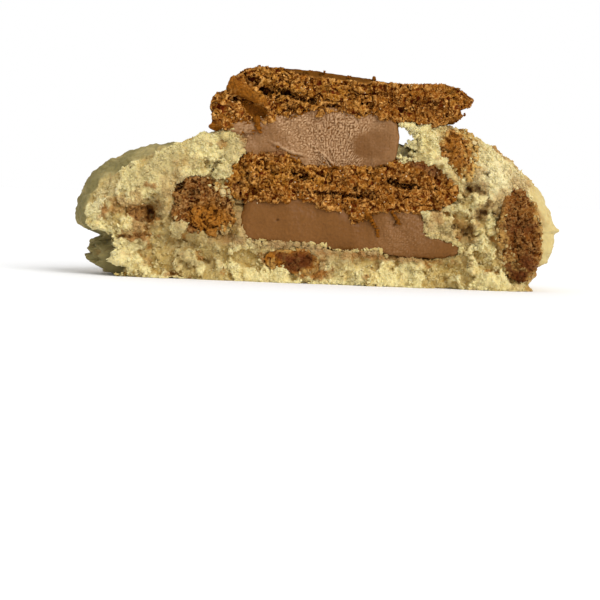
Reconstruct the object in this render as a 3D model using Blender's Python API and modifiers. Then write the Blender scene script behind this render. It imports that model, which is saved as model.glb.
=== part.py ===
"""Half of a thick stuffed cookie, broken open across its filling.

A soft pale cookie was baked round a sandwich of two spiced biscuits and two layers of
milk-chocolate cream, then broken in two. This is one half. The broken face looks along -Y,
the round crust is behind it, and the flat base lies on z = 0. Lengths are in metres, and the
short profiles are in millimetres. The origin ends up under the middle of the half.
"""

import math

import bmesh
import bpy
from mathutils import Matrix, Vector, noise

MM = 0.001

# The whole cookie: two half ellipsoids that meet at the bulge, cut flat at the base.
COOKIE_RADIUS = 45.8 * MM
CROWN_HEIGHT = 34.8 * MM
BULGE_HEIGHT = 11.0 * MM
FOOT_DEPTH = 27.0 * MM
CROWN_POWER = 1.24
LEAN = 0.20
BREAK_OFFSET = 7.0 * MM
PLAN_WAVES = ((2, 0.012, 0.7), (3, 0.014, 2.1), (5, 0.008, 4.0))
CRUST_LUMP_SIZE = 11.0 * MM
CRUST_LUMP = 0.55 * MM

# Bumps and hollows of the crust: x, y and radius, then the rise, in millimetres.
CRUST_SWELLS = (
    (-38.0, 9.0, 8.0, 3.4),
    (-43.0, 8.0, 5.0, 3.0),
    (-26.0, 7.0, 11.0, -3.0),
    (32.0, 6.0, 11.0, -1.5),
    (12.0, 38.0, 10.0, 1.2),
    (-12.0, 40.0, 8.0, -1.0),
)

# The broken face of the dough: crags and crumb, and how it rounds back to the crust.
FACE_VOXEL = 1.8 * MM
BASE_SNAP = 0.45
CRAG_SIZE = 7.0 * MM
CRAG = 1.6 * MM
CRUMB_SIZE = 2.6 * MM
CRUMB = 1.0 * MM
FACE_BLEND = 3.2 * MM
BLEND_GROWTH = 1.7
EDGE_WIDTH = 6.0 * MM
EDGE_FALL = 3.8 * MM
EDGE_CALM = 0.6
DOUGH_KEPT = 0.35

# Holes that chunks and air have left in the crumb: x, z, radius and depth, in millimetres.
PITS = (
    (-32.4, 12.4, 2.2, 2.4),
    (28.5, 10.9, 1.6, 1.8),
    (29.6, 19.2, 1.7, 2.0),
    (31.6, 14.6, 1.7, 2.2),
)

# Every piece keeps this gap to the next one.
GAP = 0.3 * MM
CUTTER_FRONT = -9.0 * MM
ROOM_OVERLAP = 1.3 * MM

# Heights of the layers' borders across the face: (x, z) in millimetres.
CREAM_LOWER_FLOOR = ((-14, 8.2), (-3, 7.4), (12, 6.1), (27, 5.9))
BISCUIT_MIDDLE_FLOOR = ((-17, 15.4), (-4, 16.0), (3, 14.9), (15, 14.6), (25, 15.6))
BISCUIT_MIDDLE_ROOF = ((-17, 22.6), (-10, 24.4), (3, 22.4), (15, 23.4), (21, 23.0), (25, 21.6))
BISCUIT_TOP_FLOOR = ((-21, 27.4), (-12, 30.1), (-1, 32.2), (5, 32.7), (14, 31.5), (25, 31.7), (28, 34.2))
BISCUIT_TOP_ROOF = ((-21, 36.2), (-15, 39.7), (-10, 40.6), (4, 39.3), (14, 38.0), (22, 38.5), (28, 36.6))

# How far the border waves, and the biscuit's tip to the front.
BORDER_WAVE = 0.45 * MM
BORDER_WAVE_SIZE = 4.5 * MM
TOP_TIP = math.tan(math.radians(2.0))

# Grain of the filling's broken faces, and the slow waves of the top biscuit's baked skin.
COARSE_GRAIN = 5.0 * MM
FINE_GRAIN = 1.9 * MM
COARSE_SHARE = 0.7
FINE_SHARE = 0.9
SIDE_SHARE = 0.35
SKIN_WAVE = 0.3 * MM
SKIN_WAVE_SIZE = 6.0 * MM

# A lump of the middle biscuit hangs into the cream below it: x, width, depth and drop.
LUMP = (7.1 * MM, 3.0 * MM, 7.0 * MM, 3.0 * MM)

# The lower cream thins to a tongue on the right.
TONGUE_START = 17.4 * MM
TONGUE_END = 21.8 * MM
TONGUE_DROP = 5.4 * MM

# The gap beside the upper cream, and the crack that lets daylight through to the back.
SLOT_X = (14.2 * MM, 17.5 * MM)
SLOT_Z = (23.2 * MM, 31.2 * MM)
SLOT_DEPTH = 9.0 * MM
CRACK_RADIUS = 1.9 * MM
CRACK_START = (15.8 * MM, -1.0 * MM, 29.3 * MM)
CRACK_LENGTH = 44.0 * MM
CRACK_FALL = math.radians(3.0)

# The notch in the left foot: centre and radii.
NOTCH_AT = (-44.0 * MM, 2.0 * MM, 6.9 * MM)
NOTCH_RADII = (5.2 * MM, 9.0 * MM, 1.3 * MM)

# Biscuit chunks baked into the dough: x and z of the centre, the two half sizes across the
# face, the depth behind it, and the turn in degrees. Lengths are in millimetres.
CHUNKS = {
    "chunk_left": (-22.1, 13.9, 6.4, 4.3, 6.0, 33.0),
    "chunk_upper_right": (25.9, 25.8, 3.0, 4.5, 5.0, -16.0),
    "chunk_outer_right": (37.9, 10.6, 3.2, 8.7, 6.0, -5.0),
    "chunk_bottom": (-3.8, 4.1, 5.2, 1.7, 5.0, 4.0),
}

CHUNK_ROUGH = 0.7 * MM
CHUNK_LUMP = 0.10
CHUNK_LUMP_SIZE = 0.8

# Colours as sRGB shares, and roughness.
DOUGH_FINISH = ((0.80, 0.71, 0.48), 0.85)
BISCUIT_FINISH = ((0.52, 0.33, 0.12), 0.85)
CREAM_FINISH = ((0.55, 0.39, 0.24), 0.45)


def clear_scene():
    """Remove the objects that the scene starts with."""
    for item in list(bpy.data.objects):
        bpy.data.objects.remove(item)


def new_collection(name):
    group = bpy.data.collections.new(name)
    bpy.context.scene.collection.children.link(group)
    return group


def finish(name, colour, roughness):
    """A plain Principled material. The colour is given as sRGB shares."""
    material = bpy.data.materials.new(name)
    material.use_nodes = True
    shader = material.node_tree.nodes["Principled BSDF"]
    shader.inputs["Base Color"].default_value = (*(share**2.2 for share in colour), 1.0)
    shader.inputs["Roughness"].default_value = roughness
    return material


def smooth_step(value):
    value = min(max(value, 0.0), 1.0)
    return value * value * (3.0 - 2.0 * value)


def wave(x, y, z, size):
    """Smooth noise between about -1 and 1 whose lumps are about size wide."""
    return noise.noise(Vector((x, y, z)) / size)


def level(stations):
    """A smooth height over x through a few stations, by cubic Hermite pieces. Waves gently in x and y."""
    points = [(x * MM, z * MM) for x, z in stations]
    last = len(points) - 1
    slopes = []
    for index in range(len(points)):
        before, after = points[max(index - 1, 0)], points[min(index + 1, last)]
        slopes.append((after[1] - before[1]) / (after[0] - before[0]))

    def height(x, y):
        x_in = min(max(x, points[0][0]), points[last][0])
        index = max(i for i in range(last) if points[i][0] <= x_in)
        (x0, z0), (x1, z1) = points[index], points[index + 1]
        span = x1 - x0
        t = (x_in - x0) / span
        smooth = smooth_step(t)
        bend = span * (t * (1 - t) ** 2 * slopes[index] - t * t * (1 - t) * slopes[index + 1])
        ripple = BORDER_WAVE * wave(x, y, points[0][1] * 9, BORDER_WAVE_SIZE)
        return z0 + (z1 - z0) * smooth + bend + ripple

    return height


cream_lower_floor = level(CREAM_LOWER_FLOOR)
middle_floor_line = level(BISCUIT_MIDDLE_FLOOR)
biscuit_middle_roof = level(BISCUIT_MIDDLE_ROOF)
top_floor_line = level(BISCUIT_TOP_FLOOR)
top_roof_line = level(BISCUIT_TOP_ROOF)


def biscuit_middle_floor(x, y):
    """Underside of the middle biscuit, with the lump that hangs near the face."""
    at, width, depth, drop = LUMP
    return middle_floor_line(x, y) - drop * math.exp(-(((x - at) / width) ** 2) - (y / depth) ** 2)


def tongue_share(x):
    """How far the lower cream has thinned to its tongue: 0 under the biscuit's middle, 1 on the tongue."""
    return smooth_step((x - TONGUE_START) / (TONGUE_END - TONGUE_START))


def cream_lower_roof(x, y):
    """Top of the lower cream: against the biscuit, then falling to a tongue."""
    return biscuit_middle_floor(x, y) - tongue_share(x) * TONGUE_DROP


def biscuit_top_floor(x, y):
    return top_floor_line(x, y) + y * TOP_TIP


def biscuit_top_roof(x, y):
    return top_roof_line(x, y) + y * TOP_TIP


class Layer:
    """A half-round layer of the filling: where it starts and ends on the face, and its two borders."""

    def __init__(self, left, right, depth, floor, roof, rim, rough, set_back, slant=0.0):
        self.left = left * MM
        self.right = right * MM
        self.depth = depth * MM
        self.floor = floor
        self.roof = roof
        self.rim = rim * MM
        self.rough = rough * MM
        self.set_back = set_back * MM
        self.slant = slant * MM

    def point(self, u, v, w, grow=0.0, front=None):
        """Place of a point of the block: u across from -1 to 1, v back from 0 to 1, w up from -1 to 1."""
        half = (self.right - self.left) / 2
        rise = math.sin(w * math.pi / 2)
        inset = self.rim * (1.0 - math.sqrt(max(1.0 - rise * rise, 0.0)))
        across = u * math.sqrt(1.0 - v * v / 2) * (half + grow - inset)
        back = v * math.sqrt(1.0 - u * u / 2) * (self.depth + grow - inset)
        x = (self.left + self.right) / 2 + across + self.slant * rise * max(-u, 0.0)
        low = self.floor(x, back) + GAP / 2 - grow
        high = self.roof(x, back) - GAP / 2 + grow
        z = (low + high) / 2 + rise * (high - low) / 2
        y = front if front is not None and v == 0 else back
        return Vector((x, y, z))


# Left and right ends, depth, borders, rounding of the rim, roughness, set-back of the face, and how far
# the top of the left end leans out.
LAYERS = {
    "cream_lower": Layer(-14.3, 26.3, 25.0, cream_lower_floor, cream_lower_roof, 0.8, 0.35, 0.3),
    "biscuit_middle": Layer(-17.3, 25.3, 26.0, biscuit_middle_floor, biscuit_middle_roof, 2.6, 1.1, -0.1),
    "cream_upper": Layer(-14.6, 14.6, 23.0, biscuit_middle_roof, biscuit_top_floor, 0.8, 0.45, 0.2, -1.0),
    "biscuit_top": Layer(-21.2, 28.2, 25.0, biscuit_top_floor, biscuit_top_roof, 2.8, 1.2, -0.4),
}
LAYER_COUNTS = {
    "cream_lower": (28, 6, 4),
    "biscuit_middle": (28, 6, 5),
    "cream_upper": (20, 6, 4),
    "biscuit_top": (34, 9, 6),
}


def block(counts):
    """A subdivided cube, as a bmesh: its points run from -1 to 1, -1 to 1 and -1 to 1."""
    mesh = bmesh.new()
    bmesh.ops.create_cube(mesh, size=2.0)
    for axis, count in enumerate(counts):
        for cut in range(1, count):
            place = Vector((0.0, 0.0, 0.0))
            place[axis] = -1.0 + 2.0 * cut / count
            normal = Vector((0.0, 0.0, 0.0))
            normal[axis] = 1.0
            geometry = mesh.verts[:] + mesh.edges[:] + mesh.faces[:]
            bmesh.ops.bisect_plane(mesh, geom=geometry, plane_co=place, plane_no=normal)
    return mesh


def add_object(name, mesh, group, material=None, hidden=False):
    """Turn a bmesh into a named object in a collection."""
    data = bpy.data.meshes.new(name)
    mesh.to_mesh(data)
    mesh.free()
    item = bpy.data.objects.new(name, data)
    group.objects.link(item)
    if material is not None:
        data.materials.append(material)
    if hidden:
        item.hide_render = True
        item.display_type = "WIRE"
    return item


def crumb_offset(x, z, rough, inner):
    """How a point of a broken face moves: in and out everywhere, and sideways away from the borders."""
    coarse = wave(x, 0.03, z, COARSE_GRAIN)
    fine = wave(x, 0.07, z, FINE_GRAIN)
    depth = -rough * (COARSE_SHARE * coarse + FINE_SHARE * fine)
    side = rough * SIDE_SHARE * inner
    return Vector((side * wave(x, 0.11, z, FINE_GRAIN), depth, side * wave(x, 0.15, z, FINE_GRAIN)))


def add_layer(name, group, material):
    """One layer of the filling, with its broken face in front."""
    layer = LAYERS[name]
    mesh = block(LAYER_COUNTS[name])
    for vert in mesh.verts:
        u, v, w = vert.co.x, (vert.co.y + 1.0) / 2, vert.co.z
        place = layer.point(u, v, w)
        if v == 0:
            inner = (1.0 - u * u) * (1.0 - w * w)
            place.y += layer.set_back
            place += crumb_offset(place.x, place.z, layer.rough, inner)
        elif name == "biscuit_top" and w > 0:
            place.z += w * SKIN_WAVE * wave(place.x, place.y, 0.2, SKIN_WAVE_SIZE)
        vert.co = place
    return add_object(name, mesh, group, material)


def add_layer_cutter(name, group):
    """The room that a layer takes in the dough: the layer, grown by the gap and run out of the face.

    A cream's room also reaches into those of the biscuits that it touches.
    """
    layer = LAYERS[name]
    mesh = block(LAYER_COUNTS[name])
    for vert in mesh.verts:
        u, v, w = vert.co.x, (vert.co.y + 1.0) / 2, vert.co.z
        vert.co = layer.point(u, v, w, grow=GAP, front=CUTTER_FRONT)
        if name == "cream_upper":
            vert.co.z += w * ROOM_OVERLAP
        elif name == "cream_lower":
            share = 1.0 - 0.8 * tongue_share(vert.co.x)
            vert.co.z += max(w, 0.0) * ROOM_OVERLAP * share
    return add_object(name + "_room", mesh, group, hidden=True)


def chunk_point(direction, sizes, grow=0.0, front=None):
    """Place of a point of the unit sphere on a chunk: round behind the face, level with it in front."""
    x, z, half_x, half_z, depth, turn = sizes
    angle = math.radians(turn)
    lump = 1.0 + CHUNK_LUMP * wave(direction.x, direction.z, x, CHUNK_LUMP_SIZE)
    across = direction.x * (half_x * MM * lump + grow)
    up = direction.z * (half_z * MM * lump + grow)
    place = Vector((x * MM, 0.0, z * MM))
    place.x += across * math.cos(angle) + up * math.sin(angle)
    place.z += up * math.cos(angle) - across * math.sin(angle)
    place.y = face_depth(place.x, place.z)
    if direction.y > 0:
        place.y += direction.y * (depth * MM + grow)
    elif front is not None:
        place.y = front
    return place


def add_chunk(name, group, material):
    """A chunk of biscuit that the break has opened."""
    mesh = bmesh.new()
    bmesh.ops.create_icosphere(mesh, subdivisions=3, radius=1.0)
    for vert in mesh.verts:
        direction = vert.co.copy()
        vert.co = chunk_point(direction, CHUNKS[name])
        if direction.y <= 0:
            inner = direction.y * direction.y
            vert.co += crumb_offset(vert.co.x, vert.co.z, CHUNK_ROUGH, inner)
    return add_object(name, mesh, group, material)


def add_chunk_cutter(name, group):
    mesh = bmesh.new()
    bmesh.ops.create_icosphere(mesh, subdivisions=3, radius=1.0)
    for vert in mesh.verts:
        vert.co = chunk_point(vert.co.copy(), CHUNKS[name], grow=GAP, front=CUTTER_FRONT)
    return add_object(name + "_room", mesh, group, hidden=True)


def cookie_point(direction):
    """Place of a point of the unit sphere on the crust of the whole cookie."""
    angle = math.atan2(direction.y, direction.x)
    radius = COOKIE_RADIUS
    for count, share, phase in PLAN_WAVES:
        radius *= 1.0 + share * math.cos(count * angle + phase)
    x = radius * direction.x
    y = radius * direction.y + BREAK_OFFSET
    if direction.z >= 0:
        crown = (CROWN_HEIGHT - BULGE_HEIGHT) * (1.0 + LEAN * direction.x)
        z = BULGE_HEIGHT + crown * direction.z**CROWN_POWER
    else:
        z = BULGE_HEIGHT + FOOT_DEPTH * direction.z
    place = Vector((x, y, z))
    place += direction * CRUST_LUMP * wave(x, y, z, CRUST_LUMP_SIZE)
    for at_x, at_y, width, rise in CRUST_SWELLS:
        far = math.hypot(x - at_x * MM, y - at_y * MM) / (width * MM)
        place.z += max(direction.z, 0.0) ** 0.5 * rise * MM * math.exp(-far * far)
    return place


def edge_distance(x, z):
    """Rough distance of a point of the broken face from the crust."""
    if z > BULGE_HEIGHT:
        crown = (CROWN_HEIGHT - BULGE_HEIGHT) * (1.0 + LEAN * x / COOKIE_RADIUS)
        share = (z - BULGE_HEIGHT) / crown
        level_share = math.sqrt((x / COOKIE_RADIUS) ** 2 + share ** (2.0 / CROWN_POWER))
        return (1.0 - level_share) * (COOKIE_RADIUS + crown) / 2
    foot = math.sqrt(1.0 - ((BULGE_HEIGHT - z) / FOOT_DEPTH) ** 2)
    return COOKIE_RADIUS * foot - abs(x)


def face_depth(x, z):
    """How far the broken face of the dough lies behind its plane."""
    rough = CRAG * wave(x, 0.0, z, CRAG_SIZE) + CRUMB * wave(x, 0.05, z, CRUMB_SIZE)
    near = smooth_step(1.0 - edge_distance(x, z) / EDGE_WIDTH)
    depth = (1.0 - EDGE_CALM * near) * rough + EDGE_FALL * near * near
    for at_x, at_z, radius, fall in PITS:
        far = math.hypot(x - at_x * MM, z - at_z * MM) / (radius * MM)
        depth += fall * MM * math.exp(-far * far)
    return depth


def flat_base_and_face(mesh):
    """Cut the whole cookie flat at its base and open at the break."""
    for place, normal in (((0, 0, 0), (0, 0, -1)), ((0, 0, 0), (0, -1, 0))):
        geometry = mesh.verts[:] + mesh.edges[:] + mesh.faces[:]
        cut = bmesh.ops.bisect_plane(
            mesh, geom=geometry, plane_co=place, plane_no=normal, clear_outer=True
        )
        rim = [item for item in cut["geom_cut"] if isinstance(item, bmesh.types.BMEdge)]
        bmesh.ops.edgeloop_fill(mesh, edges=rim)


def even_mesh(item):
    """The object's mesh remade of even squares, as a bmesh."""
    remesh = item.modifiers.new("even squares", "REMESH")
    remesh.mode = "VOXEL"
    remesh.voxel_size = FACE_VOXEL
    graph = bpy.context.evaluated_depsgraph_get()
    data = bpy.data.meshes.new_from_object(item.evaluated_get(graph))
    mesh = bmesh.new()
    mesh.from_mesh(data)
    bpy.data.meshes.remove(data)
    bpy.data.objects.remove(item)
    return mesh


def add_dough(group, material):
    """The cookie itself, with a craggy broken face."""
    mesh = bmesh.new()
    bmesh.ops.create_uvsphere(mesh, u_segments=72, v_segments=48, radius=1.0)
    for vert in mesh.verts:
        vert.co = cookie_point(vert.co.normalized())
    flat_base_and_face(mesh)
    mesh = even_mesh(add_object("dough_smooth", mesh, group))
    for vert in mesh.verts:
        depth = face_depth(vert.co.x, vert.co.z)
        reach = FACE_BLEND + BLEND_GROWTH * max(depth, 0.0)
        vert.co.y += depth * smooth_step(1.0 - (vert.co.y - 0.5 * FACE_VOXEL) / reach)
        if vert.co.z < BASE_SNAP * FACE_VOXEL:
            vert.co.z = 0.0
    behind = [vert.index for vert in mesh.verts if vert.co.y > FACE_BLEND]
    item = add_object("dough", mesh, group, material)
    item.vertex_groups.new(name="crust").add(behind, 1.0, "REPLACE")
    thin = item.modifiers.new("fewer faces behind", "DECIMATE")
    thin.ratio = DOUGH_KEPT
    thin.vertex_group = "crust"
    return item


def add_slot_cutter(group):
    """The open gap beside the upper cream."""
    mesh = block((3, 3, 4))
    for vert in mesh.verts:
        share = Vector((vert.co.x + 1, vert.co.y + 1, vert.co.z + 1)) / 2
        x = SLOT_X[0] + share.x * (SLOT_X[1] - SLOT_X[0])
        y = CUTTER_FRONT + share.y * (SLOT_DEPTH - CUTTER_FRONT)
        z = SLOT_Z[0] + share.z * (SLOT_Z[1] - SLOT_Z[0])
        if vert.co.x > 0:
            x += 0.5 * MM * wave(x, y, z, 2.4 * MM)
        vert.co = (x, y, z)
    return add_object("slot_room", mesh, group, hidden=True)


def add_crack_cutter(group):
    """The crack under the top biscuit, which falls a little to the back."""
    mesh = bmesh.new()
    bmesh.ops.create_cone(
        mesh,
        cap_ends=True,
        segments=12,
        radius1=CRACK_RADIUS,
        radius2=CRACK_RADIUS * 1.25,
        depth=CRACK_LENGTH,
    )
    middle = Matrix.Translation((0.0, 0.0, CRACK_LENGTH / 2))
    lie = Matrix.Rotation(-math.pi / 2 - CRACK_FALL, 4, "X")
    bmesh.ops.transform(mesh, matrix=lie @ middle, verts=mesh.verts)
    bmesh.ops.translate(mesh, vec=CRACK_START, verts=mesh.verts)
    return add_object("crack_room", mesh, group, hidden=True)


def add_notch_cutter(group):
    """The notch over the left foot."""
    mesh = bmesh.new()
    bmesh.ops.create_uvsphere(mesh, u_segments=16, v_segments=10, radius=1.0)
    bmesh.ops.scale(mesh, vec=NOTCH_RADII, verts=mesh.verts)
    bmesh.ops.translate(mesh, vec=NOTCH_AT, verts=mesh.verts)
    return add_object("notch_room", mesh, group, hidden=True)


def cut_rooms(item, rooms):
    """Cut every room from the item at once. The rooms meet each other, so the solver is Manifold."""
    cut = item.modifiers.new("rooms", "BOOLEAN")
    cut.operation = "DIFFERENCE"
    cut.solver = "MANIFOLD"
    cut.operand_type = "COLLECTION"
    cut.collection = rooms


def islands(mesh):
    """The groups of points of a bmesh that hang together."""
    waiting = set(mesh.verts)
    found = []
    while waiting:
        front = [waiting.pop()]
        group = list(front)
        while front:
            vert = front.pop()
            near = [edge.other_vert(vert) for edge in vert.link_edges]
            fresh = [other for other in near if other in waiting]
            waiting.difference_update(fresh)
            front += fresh
            group += fresh
        found.append(group)
    return found


def drop_scraps(item):
    """Apply the item's modifiers and keep its largest piece, without the scraps that the cuts left."""
    graph = bpy.context.evaluated_depsgraph_get()
    data = bpy.data.meshes.new_from_object(item.evaluated_get(graph))
    mesh = bmesh.new()
    mesh.from_mesh(data)
    pieces = sorted(islands(mesh), key=len)
    for scrap in pieces[:-1]:
        bmesh.ops.delete(mesh, geom=scrap, context="VERTS")
    mesh.to_mesh(data)
    mesh.free()
    item.modifiers.clear()
    item.data = data


def stand_on_origin(parts):
    """Hang the parts on an empty, placed so that the origin lies under the middle of the half."""
    bpy.context.view_layer.update()
    items = list(parts.objects)
    corners = [Vector(corner) for item in items for corner in item.bound_box]
    middle = bpy.data.objects.new("middle", None)
    parts.objects.link(middle)
    for item in items:
        item.parent = middle
    for axis in (0, 1):
        low = min(corner[axis] for corner in corners)
        high = max(corner[axis] for corner in corners)
        middle.location[axis] = -(low + high) / 2


def main():
    clear_scene()
    parts = new_collection("cookie_half")
    rooms = new_collection("rooms")
    dough_finish = finish("dough", *DOUGH_FINISH)
    biscuit_finish = finish("biscuit", *BISCUIT_FINISH)
    cream_finish = finish("cream", *CREAM_FINISH)
    dough = add_dough(parts, dough_finish)
    for name in LAYERS:
        add_layer(name, parts, cream_finish if name.startswith("cream") else biscuit_finish)
        add_layer_cutter(name, rooms)
    for name in CHUNKS:
        add_chunk(name, parts, biscuit_finish)
        add_chunk_cutter(name, rooms)
    add_slot_cutter(rooms)
    add_crack_cutter(rooms)
    add_notch_cutter(rooms)
    cut_rooms(dough, rooms)
    drop_scraps(dough)
    for room in list(rooms.objects):
        bpy.data.objects.remove(room)
    stand_on_origin(parts)


main()
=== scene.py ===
"""Dresses the broken half of a stuffed speculoos cookie.

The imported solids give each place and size. Every class below makes one of the half's own pieces over
its solid: the crumbly dough with its baked crust, the spiced biscuits, the milk-chocolate creams, the
biscuit chunks, the sugar grains and the loose crumbs. Lengths inside the classes are millimetres,
measured on the broken face: x to the right, y into the cookie and z up. The finished meshes are in
metres.
"""

import logging
import math
from dataclasses import dataclass, field
from enum import Enum

import bpy
import numpy as np
from mathutils import Matrix, Vector

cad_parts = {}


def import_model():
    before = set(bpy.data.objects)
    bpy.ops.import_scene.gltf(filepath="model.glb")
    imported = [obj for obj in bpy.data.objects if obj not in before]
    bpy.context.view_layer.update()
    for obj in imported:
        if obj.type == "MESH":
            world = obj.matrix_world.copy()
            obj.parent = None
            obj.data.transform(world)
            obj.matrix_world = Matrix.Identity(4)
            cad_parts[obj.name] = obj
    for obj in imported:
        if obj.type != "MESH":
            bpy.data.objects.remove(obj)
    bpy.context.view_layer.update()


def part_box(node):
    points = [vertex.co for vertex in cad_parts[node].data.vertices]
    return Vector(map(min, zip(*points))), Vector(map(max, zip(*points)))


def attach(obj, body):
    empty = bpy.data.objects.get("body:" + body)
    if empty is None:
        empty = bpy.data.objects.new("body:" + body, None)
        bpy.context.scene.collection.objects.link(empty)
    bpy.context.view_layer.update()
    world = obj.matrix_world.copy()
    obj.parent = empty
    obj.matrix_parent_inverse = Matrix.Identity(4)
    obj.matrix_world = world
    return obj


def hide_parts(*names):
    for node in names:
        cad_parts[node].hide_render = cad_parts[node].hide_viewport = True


MM = 0.001
LOG = logging.getLogger("cookie")

Array = np.ndarray
Piece = bpy.types.Object
Tree = bpy.types.NodeTree
Socket = bpy.types.NodeSocket
Outline = tuple[tuple[float, float], ...]

RIGHT, BACK, UP = np.eye(3)
TINY = 1e-6


class Slot(Enum):
    """The material slots that the finishes name."""

    DOUGH = "dough"
    BISCUIT = "biscuit"
    CREAM = "cream"


# Patterns


CORNERS = np.array([[x, y, z] for x in (0, 1) for y in (0, 1) for z in (0, 1)])

# Primes and shifts that mix whole numbers well, the bits of a random word, and those of a random share.
CELL_PRIMES = (73856093, 19349663, 83492791)
SEED_PRIME = 2654435761
MIX_PRIMES = ((15, 2246822519), (13, 3266489917))
WORD = 0xFFFFFFFF
SHARE = 1023

# How far the centres of lumps stray in their cells, as a share of a cell.
JITTER = 0.8


def hashed(cell: Array, seed: int) -> Array:
    """Mix whole-number cells into random numbers.

    Args:
        cell: Three whole numbers to a row.
        seed: Changes the whole pattern.

    Returns:
        One number from 0 to 2**32 for each row.
    """
    x, y, z = (cell * CELL_PRIMES).T
    bits = (x ^ y ^ z ^ seed * SEED_PRIME) & WORD
    for shift, prime in MIX_PRIMES:
        bits = ((bits ^ bits >> shift) * prime) & WORD
    return bits ^ bits >> 16


def waves(points: Array, size: float, seed: int = 0) -> Array:
    """Smooth noise.

    Args:
        points: Places, three to a row.
        size: Width of a lump, in the unit of the places.
        seed: Changes the whole pattern.

    Returns:
        A value from -1 to 1 for each place.
    """
    place = points / size
    cell = np.floor(place).astype(np.int64)
    share = place - cell
    share = share**3 * (share * (share * 6 - 15) + 10)
    total = np.zeros(len(points))
    for corner in CORNERS:
        weight = np.prod(np.where(corner, share, 1 - share), axis=1)
        total += weight * hashed(cell + corner, seed)
    return total / 2**31 - 1


def layered(points: Array, size: float, seed: int = 0, octaves: int = 3) -> Array:
    """Noise with finer noise on it.

    Args:
        points: Places, three to a row.
        size: Width of the coarsest lumps.
        seed: Changes the whole pattern.
        octaves: How many layers, each half as wide and half as strong as the one before.

    Returns:
        A value from about -1.5 to 1.5 for each place.
    """
    return sum(waves(points, size / 2**step, seed + step) / 2**step for step in range(octaves))


def granules(points: Array, size: float, seed: int = 0) -> tuple[Array, Array, Array]:
    """Scattered centres, about one to a cell of the given size.

    Args:
        points: Places, three to a row.
        size: Distance between centres.
        seed: Changes the whole pattern.

    Returns:
        The way from the nearest centre to each place, the distance to the next centre less that to the
        nearest, as a share of size, and a random share from 0 to 1 that belongs to the nearest.
    """
    place = points / size
    cell = np.floor(place - 0.5).astype(np.int64)
    first = np.full(len(points), 9.0)
    second = np.full(len(points), 9.0)
    away = np.zeros_like(place)
    lot = np.zeros(len(points))
    for corner in CORNERS:
        bits = hashed(cell + corner, seed)
        jitter = np.stack([bits >> shift & SHARE for shift in (0, 10, 20)], axis=1) / SHARE - 0.5
        way = place - (cell + corner + 0.5 + JITTER * jitter)
        far = np.linalg.norm(way, axis=1)
        nearer = far < first
        second = np.where(nearer, first, np.minimum(second, far))
        away[nearer] = way[nearer]
        lot[nearer] = (bits[nearer] >> 5 & SHARE) / SHARE
        first = np.minimum(first, far)
    return away * size, second - first, lot


def ramp(values: Array, low: float, high: float) -> Array:
    """Smooth step from 0 at low to 1 at high."""
    share = np.clip((values - low) / (high - low), 0, 1)
    return share * share * (3 - 2 * share)


@dataclass(frozen=True)
class Spot:
    """An oval place on the broken face: middle, half sizes and strength, turned clockwise in degrees."""

    x: float
    z: float
    across: float
    up: float
    strength: float = 1.0
    turn: float = 0.0

    def cover(self, points: Array, ragged: float = 0.5, soft: float = 0.5) -> Array:
        """How far the spot covers each place.

        Args:
            points: Places in millimetres.
            ragged: How far its outline strays, as a share of its size.
            soft: Width of its edge, as a share of its size.

        Returns:
            The strength inside, and 0 outside.
        """
        angle = math.radians(self.turn)
        x, z = points[:, 0] - self.x, points[:, 2] - self.z
        along = (x * math.cos(angle) - z * math.sin(angle)) / self.across
        over = (x * math.sin(angle) + z * math.cos(angle)) / self.up
        far = np.hypot(along, over)
        near = far < 2
        stray = np.zeros(len(points))
        stray[near] = layered(points[near], 0.8 * min(self.across, self.up) + 0.5, int(self.x * 7 + 400))
        return self.strength * (1 - ramp(far + ragged * stray, 1 - soft, 1 + soft)) * near


def spots(*rows: tuple[float, ...]) -> tuple[Spot, ...]:
    """Several spots, each from the values of its fields."""
    return tuple(Spot(*row) for row in rows)


def covered(group: tuple[Spot, ...], points: Array, ragged: float = 0.5, soft: float = 0.5) -> Array:
    """The strongest cover of several spots.

    Args:
        group: The spots.
        points: Places in millimetres.
        ragged: How far their outlines stray, as a share of their size.
        soft: Width of their edges, as a share of their size.

    Returns:
        A strength for each place, from 0.
    """
    found = np.zeros(len(points))
    for spot in group:
        found = np.maximum(found, spot.cover(points, ragged, soft))
    return found


def follow(outline: Outline, values: Array) -> Array:
    """Where an outline, given by its corners, lies at each value."""
    return np.interp(values, *zip(*outline))


@dataclass(frozen=True)
class Noise:
    """Layered noise for one purpose: width of its lumps, seed, layers, and a factor for each axis."""

    size: float
    seed: int
    octaves: int = 3
    factors: tuple[float, float, float] = (1.0, 1.0, 1.0)

    def at(self, points: Array) -> Array:
        """The noise at each place, from about -1.5 to 1.5."""
        return layered(points * self.factors, self.size, self.seed, self.octaves)


@dataclass(frozen=True)
class Lumps:
    """One size of lumps: distance between their middles, seed, and radius and bend as shares of it."""

    size: float
    seed: int
    tight: float = 0.5
    bend: float = 0.25


@dataclass(frozen=True)
class Sides:
    """A stretch of one axis with soft ends: where it begins, is whole, is last whole and ends."""

    begins: float = -1000.0
    whole: float = -999.0
    last: float = 999.0
    ends: float = 1000.0

    def share(self, values: Array) -> Array:
        """How far each value lies in the stretch, from 0 to 1."""
        return ramp(values, self.begins, self.whole) * (1 - ramp(values, self.last, self.ends))


def after(begins: float, whole: float) -> Sides:
    """A stretch that doesn't end."""
    return Sides(begins=begins, whole=whole)


def until(last: float, ends: float) -> Sides:
    """A stretch that doesn't begin."""
    return Sides(last=last, ends=ends)


@dataclass(frozen=True)
class Bump:
    """A rounded stretch of one axis: its middle, its half width, and a power that flattens its top."""

    middle: float
    half: float
    power: int = 2

    def share(self, values: Array) -> Array:
        """How far each value lies in the stretch, from 0 to 1."""
        return np.exp(-(((values - self.middle) / self.half) ** self.power))


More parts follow.
